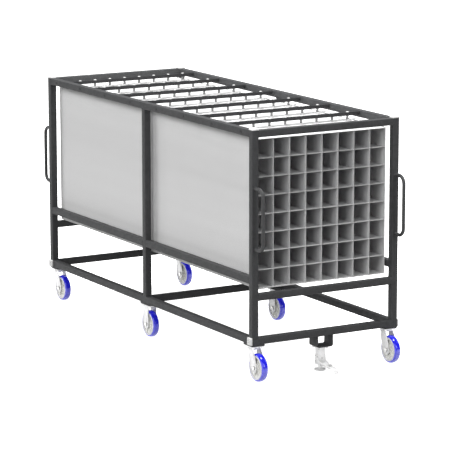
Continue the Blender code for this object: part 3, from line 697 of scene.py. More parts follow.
for ty, y, side in (("near", C, -1), ("far", W - C, 1)):
    # painted shade: near-black discs fill each hole, standing for the shadow inside the tube
    piece("rail_hole_shade_discs_" + ty, hole_shade_discs(y, H - C, side), HOLE_SHADE, place=D, smooth=40)
    got = []
    for tx, x in (("left", C), ("right", L - C)):
        got.append(piece("corner_post_%s_%s" % (ty, tx), tube("corner_post", 'Z', x, y, RAIL_TOP + 0.0002, H), CHARCOAL, place=D))
        weld('Z', x, y, RAIL_TOP + 0.0004, 31)
    got.append(piece("middle_post_" + ty, tube("middle_post", 'Z', L / 2, y, RAIL_TOP + 0.0002, H - TUBE), CHARCOAL, place=D))
    weld('Z', L / 2, y, RAIL_TOP + 0.0004, 32)
    weld('Z', L / 2, y, H - TUBE, 33)
    got.append(piece("top_rail_" + ty, holed_rail("top_rail", y, H - C, side), CHARCOAL, place=D))
    for k, (x0, x1) in enumerate(((TUBE, L / 2 - C), (L / 2 + C, L - TUBE))):
        got.append(piece("middle_rail_%s_%d" % (ty, k + 1), tube("middle_rail", 'X', y, SIDE_MID - C, x0, x1), CHARCOAL, place=D))
        for w in (x0, x1):
            weld('X', y, SIDE_MID - C, w, 41 + k)
    for w in (TUBE, L - TUBE):
        weld('X', y, H - C, w, 51)
    hides(got[0], ty + "_side_frame")
for tx, x in (("left", C), ("right", L - C)):
    for part, top, z in (("top", "end_top_rail_", H - C), ("low", "end_middle_rail_", END_MID - C)):
        ob = piece("end_rail_%s_%s" % (part, tx), tube("end_rail", 'Y', x, z, TUBE + 0.0002, W - TUBE - 0.0002), CHARCOAL, place=D)
        hides(ob, top + tx)
        for w in (TUBE + 0.0003, W - TUBE - 0.0003):
            weld('Y', x, z, w, 61)
piece("weld_beads", merge("weld_beads", BEADS), CHARCOAL, place=D, smooth=60)


# ----------------------------------------------------------------- tube caps
def cap_mesh(grid):
    """Square plug cap: bevelled head, a shallow sunk face with moulded ribs, plug with fins."""
    parts = []
    h = 0.0405 / 2
    rings = [(h - 0.0006, 0.0004, 0.0030), (h, 0.0010, 0.0034), (h, 0.0076, 0.0034), (h - 0.0010, 0.0096, 0.0036), (h - 0.0028, 0.0110, 0.0036),
             (h - 0.0056, 0.0110, 0.0028), (h - 0.0062, 0.0098, 0.0024)]
    n = 20
    verts, faces = [], []
    for a, z, r in rings:
        verts += [(u, v, z) for u, v in round_rect(a, a, r, 4)]
    for k in range(len(rings) - 1):
        for i in range(n):
            j = (i + 1) % n
            faces.append((k * n + i, k * n + j, (k + 1) * n + j, (k + 1) * n + i))
    faces.append(tuple(range(n)))
    faces.append(tuple((len(rings) - 1) * n + i for i in range(n)))
    parts.append((mesh("cap_head", verts, faces), None))
    s = h - 0.0062
    if grid:
        e, g = s - 0.0002, 0.0012
        for cx in (-1, 1):
            for cy in (-1, 0, 1):
                x0, x1 = sorted((cx * g, cx * e))
                y0, y1 = (e * 2 / 3 * cy - e / 3 + g * 0.9, e * 2 / 3 * cy + e / 3 - g * 0.9)
                parts.append((block("pad", (x0, y0, 0.0088), (x1, y1, 0.0109), 0.0005, 2), None))
    else:
        for k in (1, 2):
            p = -s + 2 * s * k / 3
            parts.append((block("rib", (p - 0.0005, -s, 0.0090), (p + 0.0005, s, 0.0106), 0.0003, 1), None))
            parts.append((block("rib", (-s, p - 0.0005, 0.0090), (s, p + 0.0005, 0.0105), 0.0003, 1), None))
    parts.append((block("plug", (-0.0135, -0.0135, -0.0148), (0.0135, 0.0135, 0.0008), 0.0015, 2), None))
    for k in range(4):
        z = -0.0130 + 0.0032 * k
        verts, faces = extrude(round_rect(0.0152, 0.0152, 0.0020, 3), 'Z', z, z + 0.0009)
        parts.append((mesh("fin", verts, faces), None))
    return merge("tube_cap", parts)


CAP_PLAIN, CAP_GRID = cap_mesh(False), cap_mesh(True)
# painted shade: a mid-grey face laid under the pads of the grid caps, darkening the grooves between them
CAP_GROOVE_SHADE_FACE = block("cap_groove_shade_face", (-0.0139, -0.0139, 0.0092), (0.0139, 0.0139, 0.0100), 0.0002, 1)
for ty, y in (("near", C), ("far", W - C)):
    for tx, x in (("left", C), ("right", L - C)):
        ob = piece("post_cap_look_%s_%s" % (ty, tx), CAP_PLAIN, CAP, place=at(x, y, H), smooth=30)
        hides(ob, "post_cap_%s_%s" % (ty, tx))
        turn = math.pi / 2 if ty == "near" else -math.pi / 2
        ob = piece("rail_cap_look_%s_%s" % (ty, tx), CAP_GRID, CAP,
                   place=Matrix.Translation(at(x, 0.0 if ty == "near" else W, RAIL_LOW + C)) @ Matrix.Rotation(turn, 4, 'X'), smooth=30)
        hides(ob, "rail_cap_%s_%s" % (ty, tx))
        piece("rail_cap_face_%s_%s" % (ty, tx), CAP_GROOVE_SHADE_FACE, CAP_GROOVE_SHADE,
              place=Matrix.Translation(at(x, 0.0 if ty == "near" else W, RAIL_LOW + C)) @ Matrix.Rotation(turn, 4, 'X'), smooth=30)


# ------------------------------------------------------------- pull handles
def handle_look():
    reach = REACH - BAR_R
    pts = [(0.0003, -LEG_TOP), (0.010, -LEG_TOP)]
    for i in range(13):
        t = math.pi / 2 * (1 - i / 12)
        pts.append((reach - BEND + BEND * math.cos(t), -LEG_TOP - BEND + BEND * math.sin(t)))
    for i in range(1, 8):
        z = -LEG_TOP - BEND + (LEG_TOP - LEG_LOW + 2 * BEND) * i / 8
        pts.append((reach, z))
    for i in range(13):
        t = -math.pi / 2 * i / 12
        pts.append((reach - BEND + BEND * math.cos(t), -LEG_LOW + BEND + BEND * math.sin(t)))
    pts += [(0.010, -LEG_LOW), (0.0003, -LEG_LOW)]
    bar = sweep("handle_bar", [(x, 0, z) for x, z in pts], BAR_R, 20)
    parts = [(bar, None)]
    for k, z in enumerate((-LEG_TOP, -LEG_LOW)):
        ring = []
        for i in range(40):
            t = math.tau * i / 40
            ring.append((0.0014, (BAR_R + 0.0006) * math.cos(t), z + (BAR_R + 0.0006) * math.sin(t)))
        rnd = random.Random(5 + k)
        jig = [0.85 + 0.3 * abs(math.sin(i * 1.3)) + rnd.uniform(-0.08, 0.08) for i in range(40)]
        parts.append((sweep("handle_weld", ring, lambda i: 0.0021 * jig[i], 6, cyclic=True), None))
    return merge("handle_look", parts)


HANDLE = handle_look()
for ty, y in (("near", C), ("far", W - C)):
    ob = piece("handle_look_%s_right" % ty, HANDLE, GRIP, place=at(L, y, H), smooth=60)
    hides(ob, "pull_handle_%s_right" % ty)
    ob = piece("handle_look_%s_left" % ty, HANDLE, GRIP,
               place=Matrix.Translation(at(0, y, H)) @ Matrix.Rotation(math.pi, 4, 'Z'), smooth=60)
    hides(ob, "pull_handle_%s_left" % ty)


# -------------------------------------------------------------- hanger bars
# Square bar between the top rails, eight domed bolts, spacers, and the strip that
# clamps the textile.
def hanger_parts():
    y0, y1 = TUBE + GAP, W - TUBE - GAP
    b = HBAR / 2
    bar = mesh("hanger_bar", *extrude([(u, -HBAR_TOP - b + v) for u, v in round_rect(b, b, 0.0016, 3)], 'Y', y0, y1,
                                      stations=[y0 + (y1 - y0) * i / 12 for i in range(13)]))
    ends = []
    for yy, s in ((y0, 1), (y1, -1)):
        loop = [(a * (b - 0.0005), yy + s * 0.0006, -HBAR_TOP - b + c * (b - 0.0005)) for a, c in ((1, 1), (-1, 1), (-1, -1), (1, -1))]
        ends.append((bead("bar_weld", loop, 0.0015, 77), None))
    strip = mesh("hanger_strip", *extrude([(u, -STRIP_TOP - 0.0015 + v) for u, v in round_rect(0.0120, 0.0015, 0.0009, 3)], 'Y', DY + 0.001, W - DY - 0.001,
                                          stations=[DY + 0.001 + (W - 2 * DY - 0.002) * i / 12 for i in range(13)]))
    heads, spacers = [], []
    for j in range(NY):
        y = STUD_FIRST + STUD_PITCH * j
        dome = [(0.0086, -HBAR_TOP + 0.0001), (0.0090, -HBAR_TOP + 0.0006), (0.0086, -HBAR_TOP + 0.0012), (0.0078, -HBAR_TOP + 0.0013)]
        dome += [(0.0078 * math.cos(t), -HBAR_TOP + 0.0014 + 0.0034 * math.sin(t)) for t in [math.pi / 2 * i / 6 for i in range(6)]]
        dome += [(0.0024, -HBAR_TOP + 0.0047), (0.0020, -HBAR_TOP + 0.0036)]
        heads.append((turned("bolt_head", dome, 28), (0, y, 0)))
        sp = [(0.0042, -STRIP_TOP + 0.0001), (0.0068, -STRIP_TOP + 0.0001), (0.0070, -STRIP_TOP + 0.0006), (0.0070, -HBAR_TOP - HBAR - 0.0006), (0.0068, -HBAR_TOP - HBAR - 0.0001), (0.0042, -HBAR_TOP - HBAR - 0.0001)]
        spacers.append((lathe("spacer", sp, 24), (0, y, 0)))
    fix = lambda p: [(m, Matrix.Translation(o) if o is not None else None) for m, o in p]
    return merge("hanger_bar_look", [(bar, None)] + ends), strip, merge("hanger_bolts", fix(heads)), merge("hanger_spacers", fix(spacers))


STRIP = plated("clamp_strip", (0.66, 0.66, 0.66), rough=0.45, metal=0.05, stain=0.15)
BUTTON = plastic("button_head_white", (0.60, 0.60, 0.60), 0.35)
SPACER = plastic("spacer_grey", (0.20, 0.20, 0.20), 0.45)
H_BAR, H_STRIP, H_HEADS, H_SPACERS = hanger_parts()
HX = [HANG_FIRST + HANG_PITCH * i for i in range(HANG)]
for i, x in enumerate(HX):
    p = at(x, 0, H)
    ob = piece("hanger_bar_look_%d" % (i + 1), H_BAR, DARK, place=p)
    hides(ob, "hanger_bar_%d" % (i + 1))
    piece("hanger_strip_%d" % (i + 1), H_STRIP, STRIP, place=p)
    piece("hanger_bolts_%d" % (i + 1), H_HEADS, BUTTON, place=p, smooth=50)
    piece("hanger_spacers_%d" % (i + 1), H_SPACERS, SPACER, place=p, smooth=40)


# ---------------------------------------------------------- textile dunnage
# Nine upright sheets run the full length and height; nine level sheets are
# sewn to them, eight cells across.  Every open end is bound with tape.
LOW = DTOP - DH
PZ = (DH - 0.003) / NZ
YS = [DY + COL * j for j in range(NY + 1)]
YS[0] += 0.0013
YS[-1] -= 0.0013
ZS = [LOW + PZ * k + 0.0015 for k in range(NZ + 1)]
TOP_UP = 0.0035           # the top row hangs this much taller
ZS[-1] += TOP_UP
DHV = DH + TOP_UP
XA, XB = DX, L - DX


def wob(x, y, z, s):
    return noise.noise(Vector((x * 3.1 + s * 7.7, y * 9.0 + s, z * 7.0 - s * 3.3)))


def end_fade(x):
    """0 at the bound ends, 1 well inside."""
    d = min(x - XA, XB - x)
    return max(0.0, min(1.0, d / 0.16))


def wall_y(j, x, z):
    """The upright sheet's middle surface."""
    t = ((z - LOW) / PZ) % 1.0
    belly = math.sin(math.pi * t) ** 2
    edge = 1.0 if 0 < j < NY else 0.3
    y = YS[j] + edge * end_fade(x) * (0.0022 * belly * wob(x, j, z, 1.0) + 0.0010 * wob(x * 0.4, j, z * 0.5, 2.0))
    out = {0: -1.0, NY: 1.0}.get(j, 0.0)
    return y + out * 0.0008 * belly * end_fade(x)


def level_z(k, x, y):
    """The level sheet's middle surface, sagging a little in each cell."""
    u = ((y - DY) / COL) % 1.0
    sag = math.sin(math.pi * u) ** 2
    z = ZS[k] - sag * (0.0004 + end_fade(x) * (0.0020 + 0.0014 * wob(x, y, k, 4.0)))
    if k == NZ:
        lift = max(math.exp(-((x - hx) / 0.036) ** 2) for hx in HX)
        side = min(1.0, max(0.0, min(y - YS[0], YS[-1] - y) - 0.002) / 0.030)
        lift *= side * side * (3.0 - 2.0 * side)
        z += 0.0004 + 0.0087 * lift * (1.0 - 0.12 * sag) - 0.0020 * (1.0 - lift) * sag * end_fade(x)
    return z


def thin_sheet(name, us, vs, point, normal_axis, thick):
    """Closed thin sheet on a grid: point(u, v) is its middle surface."""
    nu, nv = len(us), len(vs)
    verts, faces = [], []
    for s in (-0.5, 0.5):
        for u in us:
            for v in vs:
                p = list(point(u, v))
                p[normal_axis] += s * thick
                verts.append(p)
    off = nu * nv
    for i in range(nu - 1):
        for k in range(nv - 1):
            a, b, c, d = i * nv + k, (i + 1) * nv + k, (i + 1) * nv + k + 1, i * nv + k + 1
            faces.append((a, b, c, d))
            faces.append((off + a, off + d, off + c, off + b))
    rim = [i * nv for i in range(nu)] + [(nu - 1) * nv + k for k in range(1, nv)] + [i * nv + nv - 1 for i in range(nu - 2, -1, -1)] + [k for k in range(nv - 2, 0, -1)]
    for a, b in zip(rim, rim[1:] + rim[:1]):
        faces.append((a, b, off + b, off + a))
    return mesh(name, verts, faces)


def stitches(name, spots, along, out, length=0.0030, r=0.00035):
    """Short raised thread stitches at the given places."""
    verts, faces = [], []
    al, ou = Vector(along), Vector(out)
    si = al.cross(ou)
    for p in spots:
        p = Vector(p)
        b = len(verts)
        for t, w, h in ((-0.5, 0.35, -0.2), (-0.28, 1.0, 0.8), (0.28, 1.0, 0.8), (0.5, 0.35, -0.2)):
            c = p + al * (t * length)
            verts += [c + si * (r * w), c + ou * (r * (1.0 + h)), c - si * (r * w), c - ou * r]
        for k in range(3):
            for i in range(4):
                j = (i + 1) % 4
                faces.append((b + k * 4 + i, b + k * 4 + j, b + k * 4 + 4 + j, b + k * 4 + 4 + i))
        faces.append((b, b + 1, b + 2, b + 3))
        faces.append((b + 12, b + 15, b + 14, b + 13))
    return mesh(name, verts, faces)


XN = 112
WALL_UP = 0.0040          # the outer walls stand this far above the top sheet
XS = [XA + (XB - XA) * i / XN for i in range(XN + 1)]
ZG = [LOW + 0.0003 + (DHV - 0.0006) * i / 48 for i in range(49)]
ZG_OUT = ZG + [ZG[-1] + WALL_UP * i / 2 for i in (1, 2)]
YG = [YS[0] + (YS[-1] - YS[0]) * i / 64 for i in range(65)]
UP_T, LEVEL_T = 0.0022, 0.0017
TAPE_D, TAPE_W, TAPE_H = 0.0200, 0.0052, 0.0044
columns = ["dunnage_column_%d" % (j + 1) for j in range(NY)]


def tape_upright(j, end):
    """Binding folded over the end of an upright sheet, both faces and the edge."""
    x1 = XA if end < 0 else XB
    half = TAPE_W / 2
    verts, faces = [], []
    sect = round_rect(TAPE_D / 2, half, 0.0022, 3)
    n = len(sect)
    zs = [LOW + (DHV + (WALL_UP if j in (0, NY) else 0.0)) * i / 64 for i in range(65)]
    for z in zs:
        puff = 1.0 + 0.05 * wob(j, z * 4, end, 6.0)
        for u, v in sect:
            x = x1 - end * (TAPE_D / 2) + u + end * 0.0006
            verts.append((x, wall_y(j, x1, z) + v * puff, z))
    for k in range(len(zs) - 1):
        for i in range(n):
            i2 = (i + 1) % n
            faces.append((k * n + i, k * n + i2, (k + 1) * n + i2, (k + 1) * n + i))
    faces.append(tuple(range(n)))
    faces.append(tuple((len(zs) - 1) * n + i for i in range(n)))
    return mesh("tape", verts, faces)


def tape_level(k, end):
    x1 = XA if end < 0 else XB
    verts, faces = [], []
    thick = 0.0032 if k == NZ else TAPE_H
    sect = round_rect(TAPE_D / 2 - 0.001, thick / 2, thick * 0.42, 3)
    n = len(sect)
    for y in YG:
        puff = 1.0 + 0.06 * wob(y * 4, k, end, 8.0)
        for u, v in sect:
            x = x1 - end * (TAPE_D / 2) + u - end * 0.0002
            verts.append((x, y, level_z(k, x1, y) + v * puff + (0.0009 if k == 0 else (-0.0009 if k == NZ else 0.0))))
    for i in range(len(YG) - 1):
        for a in range(n):
            b = (a + 1) % n
            faces.append((i * n + a, i * n + b, (i + 1) * n + b, (i + 1) * n + a))
    faces.append(tuple(range(n)))
    faces.append(tuple((len(YG) - 1) * n + a for a in range(n)))
    return mesh("tape", verts, faces)


for j in range(NY + 1):
    outer = j in (0, NY)
    me = thin_sheet("textile_upright", XS, ZG_OUT if outer else ZG, lambda u, v: (u, wall_y(j, u, v), v), 1, UP_T)
    ob = piece("textile_upright_%d" % (j + 1), me, OUTER if outer else SHADED_INNER_V, place=D, smooth=70)
    tape = merge("tape", [(tape_upright(j, -1), None), (tape_upright(j, 1), None)])
    with_it = [piece("binding_upright_%d" % (j + 1), tape, TAPE_V_LOOK, place=D, smooth=50)]
    spots = {-1: [], 1: []}
    for end in (-1, 1):
        x1 = XA if end < 0 else XB
        for side in (-1, 1):
            pitch = 0.0060 if outer else 0.0100
            z = LOW + 0.006
            while z < DTOP - 0.004:
                spots[side].append((x1 - end * (TAPE_D - 0.0035), wall_y(j, x1, z) + side * (TAPE_W / 2 + 0.0001), z))
                z += pitch
    sew = merge("sewing", [(stitches("s", spots[-1], (0, 0, 1), (0, -1, 0)), None), (stitches("s", spots[1], (0, 0, 1), (0, 1, 0)), None)])
    with_it.append(piece("stitching_upright_%d" % (j + 1), sew, THREAD, place=D, smooth=60))
    if j < NY:
        hides(ob, columns[j])
for k in range(NZ + 1):
    top = k == NZ
    me = thin_sheet("textile_level", XS, YG, lambda u, v: (u, v, level_z(k, u, v)), 2, LEVEL_T)
    ob = piece("textile_level_%d" % (k + 1), me, OUTER_TOP if k in (0, NZ) else SHADED_INNER_H, place=D, smooth=70)
    tape = merge("tape", [(tape_level(k, -1), None), (tape_level(k, 1), None)])
    with_it = [piece("binding_level_%d" % (k + 1), tape, TAPE_H_LOOK, place=D, smooth=50)]
    spots = []
    for end in (-1, 1):
        x1 = XA if end < 0 else XB
        y = YS[0] + 0.008
        while y < YS[-1] - 0.006:
            x = x1 - end * (TAPE_D - 0.0045)
            spots.append((x, y, level_z(k, x1, y) + TAPE_H / 2 + (0.0001 if not top else -0.0008)))
            y += 0.0070
    sew = stitches("sewing", spots, (0, 1, 0), (0, 0, 1))
    with_it.append(piece("stitching_level_%d" % (k + 1), sew, THREAD, place=D, smooth=60))


# ------------------------------------------------------------------ casters
def wheel_parts():
    """Tread, moulded core with ribs on both sides, and the bearing caps."""
    half = [(WHEEL_R, 0.0), (0.07615, 0.0025), (0.0760, 0.0050), (0.0758, 0.0072), (0.0754, 0.0095), (0.0746, 0.0120), (0.0735, 0.0142), (0.0721, 0.0160),
            (0.0708, 0.0172), (0.0694, 0.0182), (0.0681, 0.0188), (0.0670, 0.0189), (0.0663, 0.0184), (0.0660, 0.0172)]
    prof = [(r, y) for r, y in half] + [(0.0600, 0.0)] + [(r, -y) for r, y in reversed(half[1:])]
    tread = lathe("tread", prof, 80, 'Y')
    ring = [(0.0658, 0.0), (0.0658, 0.0184), (0.0652, 0.0194), (0.0638, 0.0198), (0.0572, 0.0198), (0.0560, 0.0191), (0.0552, 0.0178), (0.0548, 0.0130), (0.0542, 0.0)]
    ring = lathe("ring", ring + [(r, -y) for r, y in reversed(ring[1:-1])], 80, 'Y')
    rim = [(0.0546, 0.0), (0.0546, 0.0120), (0.0540, 0.0125), (0.0534, 0.0116), (0.0504, 0.0092), (0.0300, 0.0092), (0.0268, 0.0102), (0.0252, 0.0120), (0.0244, 0.0192), (0.0236, 0.0202), (0.0176, 0.0206), (0.0166, 0.0200),
           (0.0160, 0.0170), (0.0068, 0.0170)]
    core = lathe("core", rim + [(r, -y) for r, y in reversed(rim[1:])], 72, 'Y')
    parts = [(core, None)]
    for k in range(10):
        t = math.tau * k / 10
        for s in (-1, 1):
            lo = (0.0235, 0.0050 if s > 0 else -0.0165, -0.0015)
            hi = (0.0550, 0.0165 if s > 0 else -0.0050, 0.0015)
            rib = block("rib", lo, hi, 0.0007, 1)
            parts.append((rib, Matrix.Rotation(t, 4, 'Y')))
    caps = []
    for s in (-1, 1):
        cp = [(0.0156, 0.0168), (0.0157, 0.0204), (0.0150, 0.0212), (0.0110, 0.0214), (0.0104, 0.0222), (0.0085, 0.0224)]
        me = turned("bearing_cap", [(r, s * y) for r, y in cp], 32, 'Y')
        caps.append((me, None))
    return tread, merge("wheel_core", parts), merge("bearing_caps", caps), ring


SWIVEL_LEG = [(-58, 52), (-51, 34), (-40, 7), (-26, -12), (-9, -24), (4, -26.5), (15, -20), (20.5, -4),
              (17.5, 24), (10, 46), (-2, 72)]
RIGID_LEG = [(-40, 22), (-36, 3), (-25, -13), (-10, -24), (4, -26.5), (15, -20), (20.5, -5), (20.5, 20), (20, 60)]


def smoothed(pts, n=5):
    """Points of a smooth open curve through the given ones."""
    pts = [Vector(p) for p in pts]
    q = [pts[0] * 2 - pts[1]] + pts + [pts[-1] * 2 - pts[-2]]
    out = []
    for a, b, c, d in zip(q, q[1:], q[2:], q[3:]):
        for i in range(n):
            t = i / n
            out.append(0.5 * (2 * b + (c - a) * t + (2 * a - 5 * b + 4 * c - d) * t * t + (3 * b - 3 * c + d - a) * t ** 3))
    return out + [pts[-1]]


def leg_line(leg_top, top_z, foot_x, edge):
    pts = [(leg_top[0], top_z)] + [(foot_x + x * 0.001, AXZ + z * 0.001) for x, z in edge] + [(leg_top[1], top_z)]
    return [(v.x, v.y) for v in smoothed(pts, 4)]


def pressed_leg(line, y0, y1, foot_x, s):
    """Leg cut from strip: rolled edges, a stiffening rib along the edge, and a raised boss at the axle."""
    parts = [(bevelled("leg", mesh("leg", *extrude(line, 'Y', y0, y1)), 0.0011, 3, 50), None)]
    mid = Vector((sum(p[0] for p in line) / len(line), sum(p[1] for p in line) / len(line)))
    # stiffening rib, following the leg's edge 6 mm in
    ring = []
    n = len(line)
    for i in range(2, n - 2):
        a, b = Vector(line[i - 1]), Vector(line[i + 1])
        d = (b - a).normalized()
        ring.append((line[i][0] - d.y * 0.0055, line[i][1] + d.x * 0.0055))
    if (Vector(ring[len(ring) // 2]) - mid).length > (Vector(line[n // 2]) - mid).length:
        ring = [(2 * line[i + 2][0] - p[0], 2 * line[i + 2][1] - p[1]) for i, p in enumerate(ring)]
    out = y1 if s > 0 else y0
    path = [(x, out, z) for x, z in ring if z < -0.030]
    parts.append((sweep("leg_rib", path, 0.0013, 8, squash=None), None))
    boss = turned("boss", [(0.0140, out - s * 0.0003), (0.0136, out + s * 0.0007), (0.0126, out + s * 0.0010)], 36, 'Y')
    boss.transform(Matrix.Translation((foot_x, 0, AXZ)))
    parts.append((boss, None))
    return parts


def fork_mesh(ends, leg_top, crown, foot_x, edge):
    low, high = crown
    out = FORK_IN + FORK_T
    parts = []
    # crown with its shoulders rolled over into the legs
    r = 0.0062
    sect = [(out - r + r * math.sin(math.pi / 2 * i / 6), high - r + r * math.cos(math.pi / 2 * i / 6)) for i in range(7)]
    sect += [(out, low - 0.004), (FORK_IN, low - 0.004)]
    sect += [(FORK_IN - 0.0030 + 0.0030 * math.cos(math.pi / 2 * i / 4), low - 0.0030 + 0.0030 * math.sin(math.pi / 2 * i / 4)) for i in range(5)]
    sect += [(-y, z) for y, z in reversed(sect)]
    parts.append((bevelled("crown", mesh("crown", *extrude(sect, 'X', ends[0], ends[1])), 0.0010, 2, 50), None))
    line = leg_line(leg_top, low - 0.003, foot_x, edge)
    for y0, y1, s in ((FORK_IN, out, 1), (-out, -FORK_IN, -1)):
        parts += pressed_leg(line, y0, y1, foot_x, s)
    me = merge("fork", parts)
    # painted shade: faces turned towards the wheel take the darker zinc copy
    for p in me.polygons:
        if abs(p.normal.y) > 0.8 and p.center.y * p.normal.y < 0.0:
            p.material_index = 1
    return me


def plate_mesh(px, py, z0, z1, bolts):
    outline = round_rect(px, py, 0.0085, 5)
    parts = [(bevelled("plate", mesh("plate", *extrude(outline, 'Z', z0, z1)), 0.0008, 2, 50), None)]
    return parts


def bolts_under(px, py, z):
    parts = []
    for sx in (-1, 1):
        for sy in (-1, 1):
            m = hexagon("bolt", 0.0130, z - 0.0054, z - 0.0006, washer=None, turn=0.3 * sx + 0.7 * sy)
            parts.append((m, Matrix.Translation((sx * (px - 0.0105), sy * (py - 0.0100), 0))))
            w = turned("washer", [(0.0084, z - 0.0012), (0.0086, z - 0.0002)], 24)
            parts.append((w, Matrix.Translation((sx * (px - 0.0105), sy * (py - 0.0100), 0))))
    return merge("plate_bolts", parts)


T_TREAD, T_CORE, T_CAPS, T_RING = wheel_parts()
SW_FORK = fork_mesh((-0.030, 0.030), (-0.013, 0.0294), (-0.0186, -0.0136), TRAIL, SWIVEL_LEG)
RG_FORK = fork_mesh((-0.040, 0.022), (-0.0397, 0.0217), (-0.0103, -0.0053), 0.0, RIGID_LEG)
PLATE = merge("swivel_plate_look", plate_mesh(0.0475, 0.0380, -0.0053, -0.0003, None)
              + [(lathe("race", [(0.0300, -0.0050), (0.0312, -0.0056), (0.0318, -0.0072), (0.0312, -0.0086), (0.0296, -0.0092), (0.0296, -0.0097),
                                 (0.0308, -0.0102), (0.0310, -0.0118), (0.0300, -0.0130), (0.0200, -0.0132), (0.0200, -0.0050)], 56), None),
                 (turned("kingpin", [(0.0080, -0.0040), (0.0080, -0.0200)], 28), None),
                 (hexagon("king_nut", 0.0220, -0.0252, -0.0192), None)])
RG_PLATE = merge("rigid_plate_look", plate_mesh(0.0505, 0.0380, -0.0056, -0.0006, None))
SW_BOLTS = bolts_under(0.0475, 0.0380, -0.0053)
RG_BOLTS = bolts_under(0.0505, 0.0380, -0.0056)


def axle_mesh():
    out = FORK_IN + FORK_T
    pin = turned("pin", [(0.0060, -out - 0.004), (0.00625, -out - 0.0035), (0.00625, out + 0.0120), (0.0054, out + 0.0135)], 24, 'Y')
    head = hexagon("head", 0.0180, -out - 0.0010 - 0.0072, -out - 0.0010, axis='Y')
    nut = hexagon("nut", 0.0180, out + 0.0010, out + 0.0088, axis='Y', turn=0.25)
    w = [turned("washer", [(0.0112, s * (out + 0.0001)), (0.0114, s * (out + 0.0005)), (0.0112, s * (out + 0.0010))], 28, 'Y') for s in (-1, 1)]
    bush = [turned("bush", [(0.0085, s * 0.0224), (0.0085, s * 0.0229)], 24, 'Y') for s in (-1, 1)]
    return merge("axle_look", [(m, None) for m in [pin, head, nut] + w + bush])


AXLE = axle_mesh()


def caster(tag, x, y, rigid=False):
    body = "cart" if rigid else "swivel_" + tag
    dx = 0.0 if rigid else TRAIL
    if rigid:
        ob = piece("fork_look_" + tag, RG_FORK, ZINC, place=at(x, y, 0), smooth=45, mats=[ZINC, ZINC_SHADED])
        hides(ob, "rigid_fork_" + tag)
        piece("plate_look_" + tag, RG_PLATE, ZINC, place=at(x, y, 0))
        piece("plate_bolts_" + tag, RG_BOLTS, BOLT, place=at(x, y, 0))
    else:
        ob = piece("fork_look_" + tag, SW_FORK, ZINC, body=body, place=at(x, y, 0), smooth=45, mats=[ZINC, ZINC_SHADED])
        hides(ob, "swivel_fork_" + tag)
        ob = piece("plate_look_" + tag, PLATE, ZINC, place=at(x, y, 0))
        hides(ob, "swivel_plate_" + tag)
        piece("plate_bolts_" + tag, SW_BOLTS, BOLT, place=at(x, y, 0))
    ob = piece("axle_look_" + tag, AXLE, BOLT, body=body, place=at(x + dx, y, AXZ))
    hides(ob, "axle_" + tag)
    wb = "wheel_body_" + tag
    ob = piece("tread_" + tag, T_TREAD, TREAD, body=wb, place=at(x + dx, y, AXZ), smooth=50)
    hides(ob, "wheel_" + tag)
    piece("wheel_ring_" + tag, T_RING, RING, body=wb, place=at(x + dx, y, AXZ), smooth=40)
    piece("wheel_core_" + tag, T_CORE, HUB, body=wb, place=at(x + dx, y, AXZ), smooth=40)
    piece("bearing_caps_" + tag, T_CAPS, ZINC_DARK, body=wb, place=at(x + dx, y, AXZ), smooth=40)


for ty, y in (("near", SWY), ("far", W - SWY)):
    caster(ty + "_left", SWX, y)
    caster(ty + "_right", L - SWX, y)
    caster(ty + "_middle", L / 2, y, rigid=True)


# --------------------------------------------------------------- floor lock
def arc2(cx, cy, r, a, b, n):
    return [(cx + r * math.cos(a + (b - a) * i / n), cy + r * math.sin(a + (b - a) * i / n)) for i in range(n + 1)]


def bracket_look():
    n, f, t, r = BR_NEAR, BR_FAR, BR_T, 0.013
    top = RAIL_LOW - GAP
    outer = [(-n, top)] + arc2(-n + r, BR_LOW + r, r, math.pi, 1.5 * math.pi, 10) + arc2(f - r, BR_LOW + r, r, 1.5 * math.pi, 2 * math.pi, 10) + [(f, top)]
    inner = [(f - t, top)] + arc2(f - r, BR_LOW + r, r - t, 2 * math.pi, 1.5 * math.pi, 10) + arc2(-n + r, BR_LOW + r, r - t, 1.5 * math.pi, math.pi, 10) + [(-n + t, top)]
    me = bevelled("bracket", mesh("bracket", *extrude(outer + inner, 'X', L - BR_BACK, L - BR_FRONT)), 0.0008, 2, 50)
    me.transform(Matrix.Translation((0, LOCK_Y, 0)))
    parts = [(me, None)]
    for s, e in ((-1, n), (1, f)):
        y = LOCK_Y + s * (e + 0.0006)
        z = top - 0.0006
        parts.append((bead("bracket_weld", [(L - TUBE + 0.001, y, z), (L - TUBE * 0.75, y, z), (L - BR_FRONT - 0.002, y, z)], 0.0019, 9, closed=False), None))
    return merge("bracket_look", parts)


ob = piece("lock_bracket_look", bracket_look(), CHARCOAL, place=D, smooth=40)
hides(ob, "floor_lock_bracket")

HS_TOP, HS_LOW, HS, PVX, PVZ, PIN, EAR = BR_LOW - GAP, -0.1580, 0.0200, 0.0440, -0.1500, 0.0050, 0.0220
LD = Matrix.Translation(at(LOCK_X, LOCK_Y, 0))


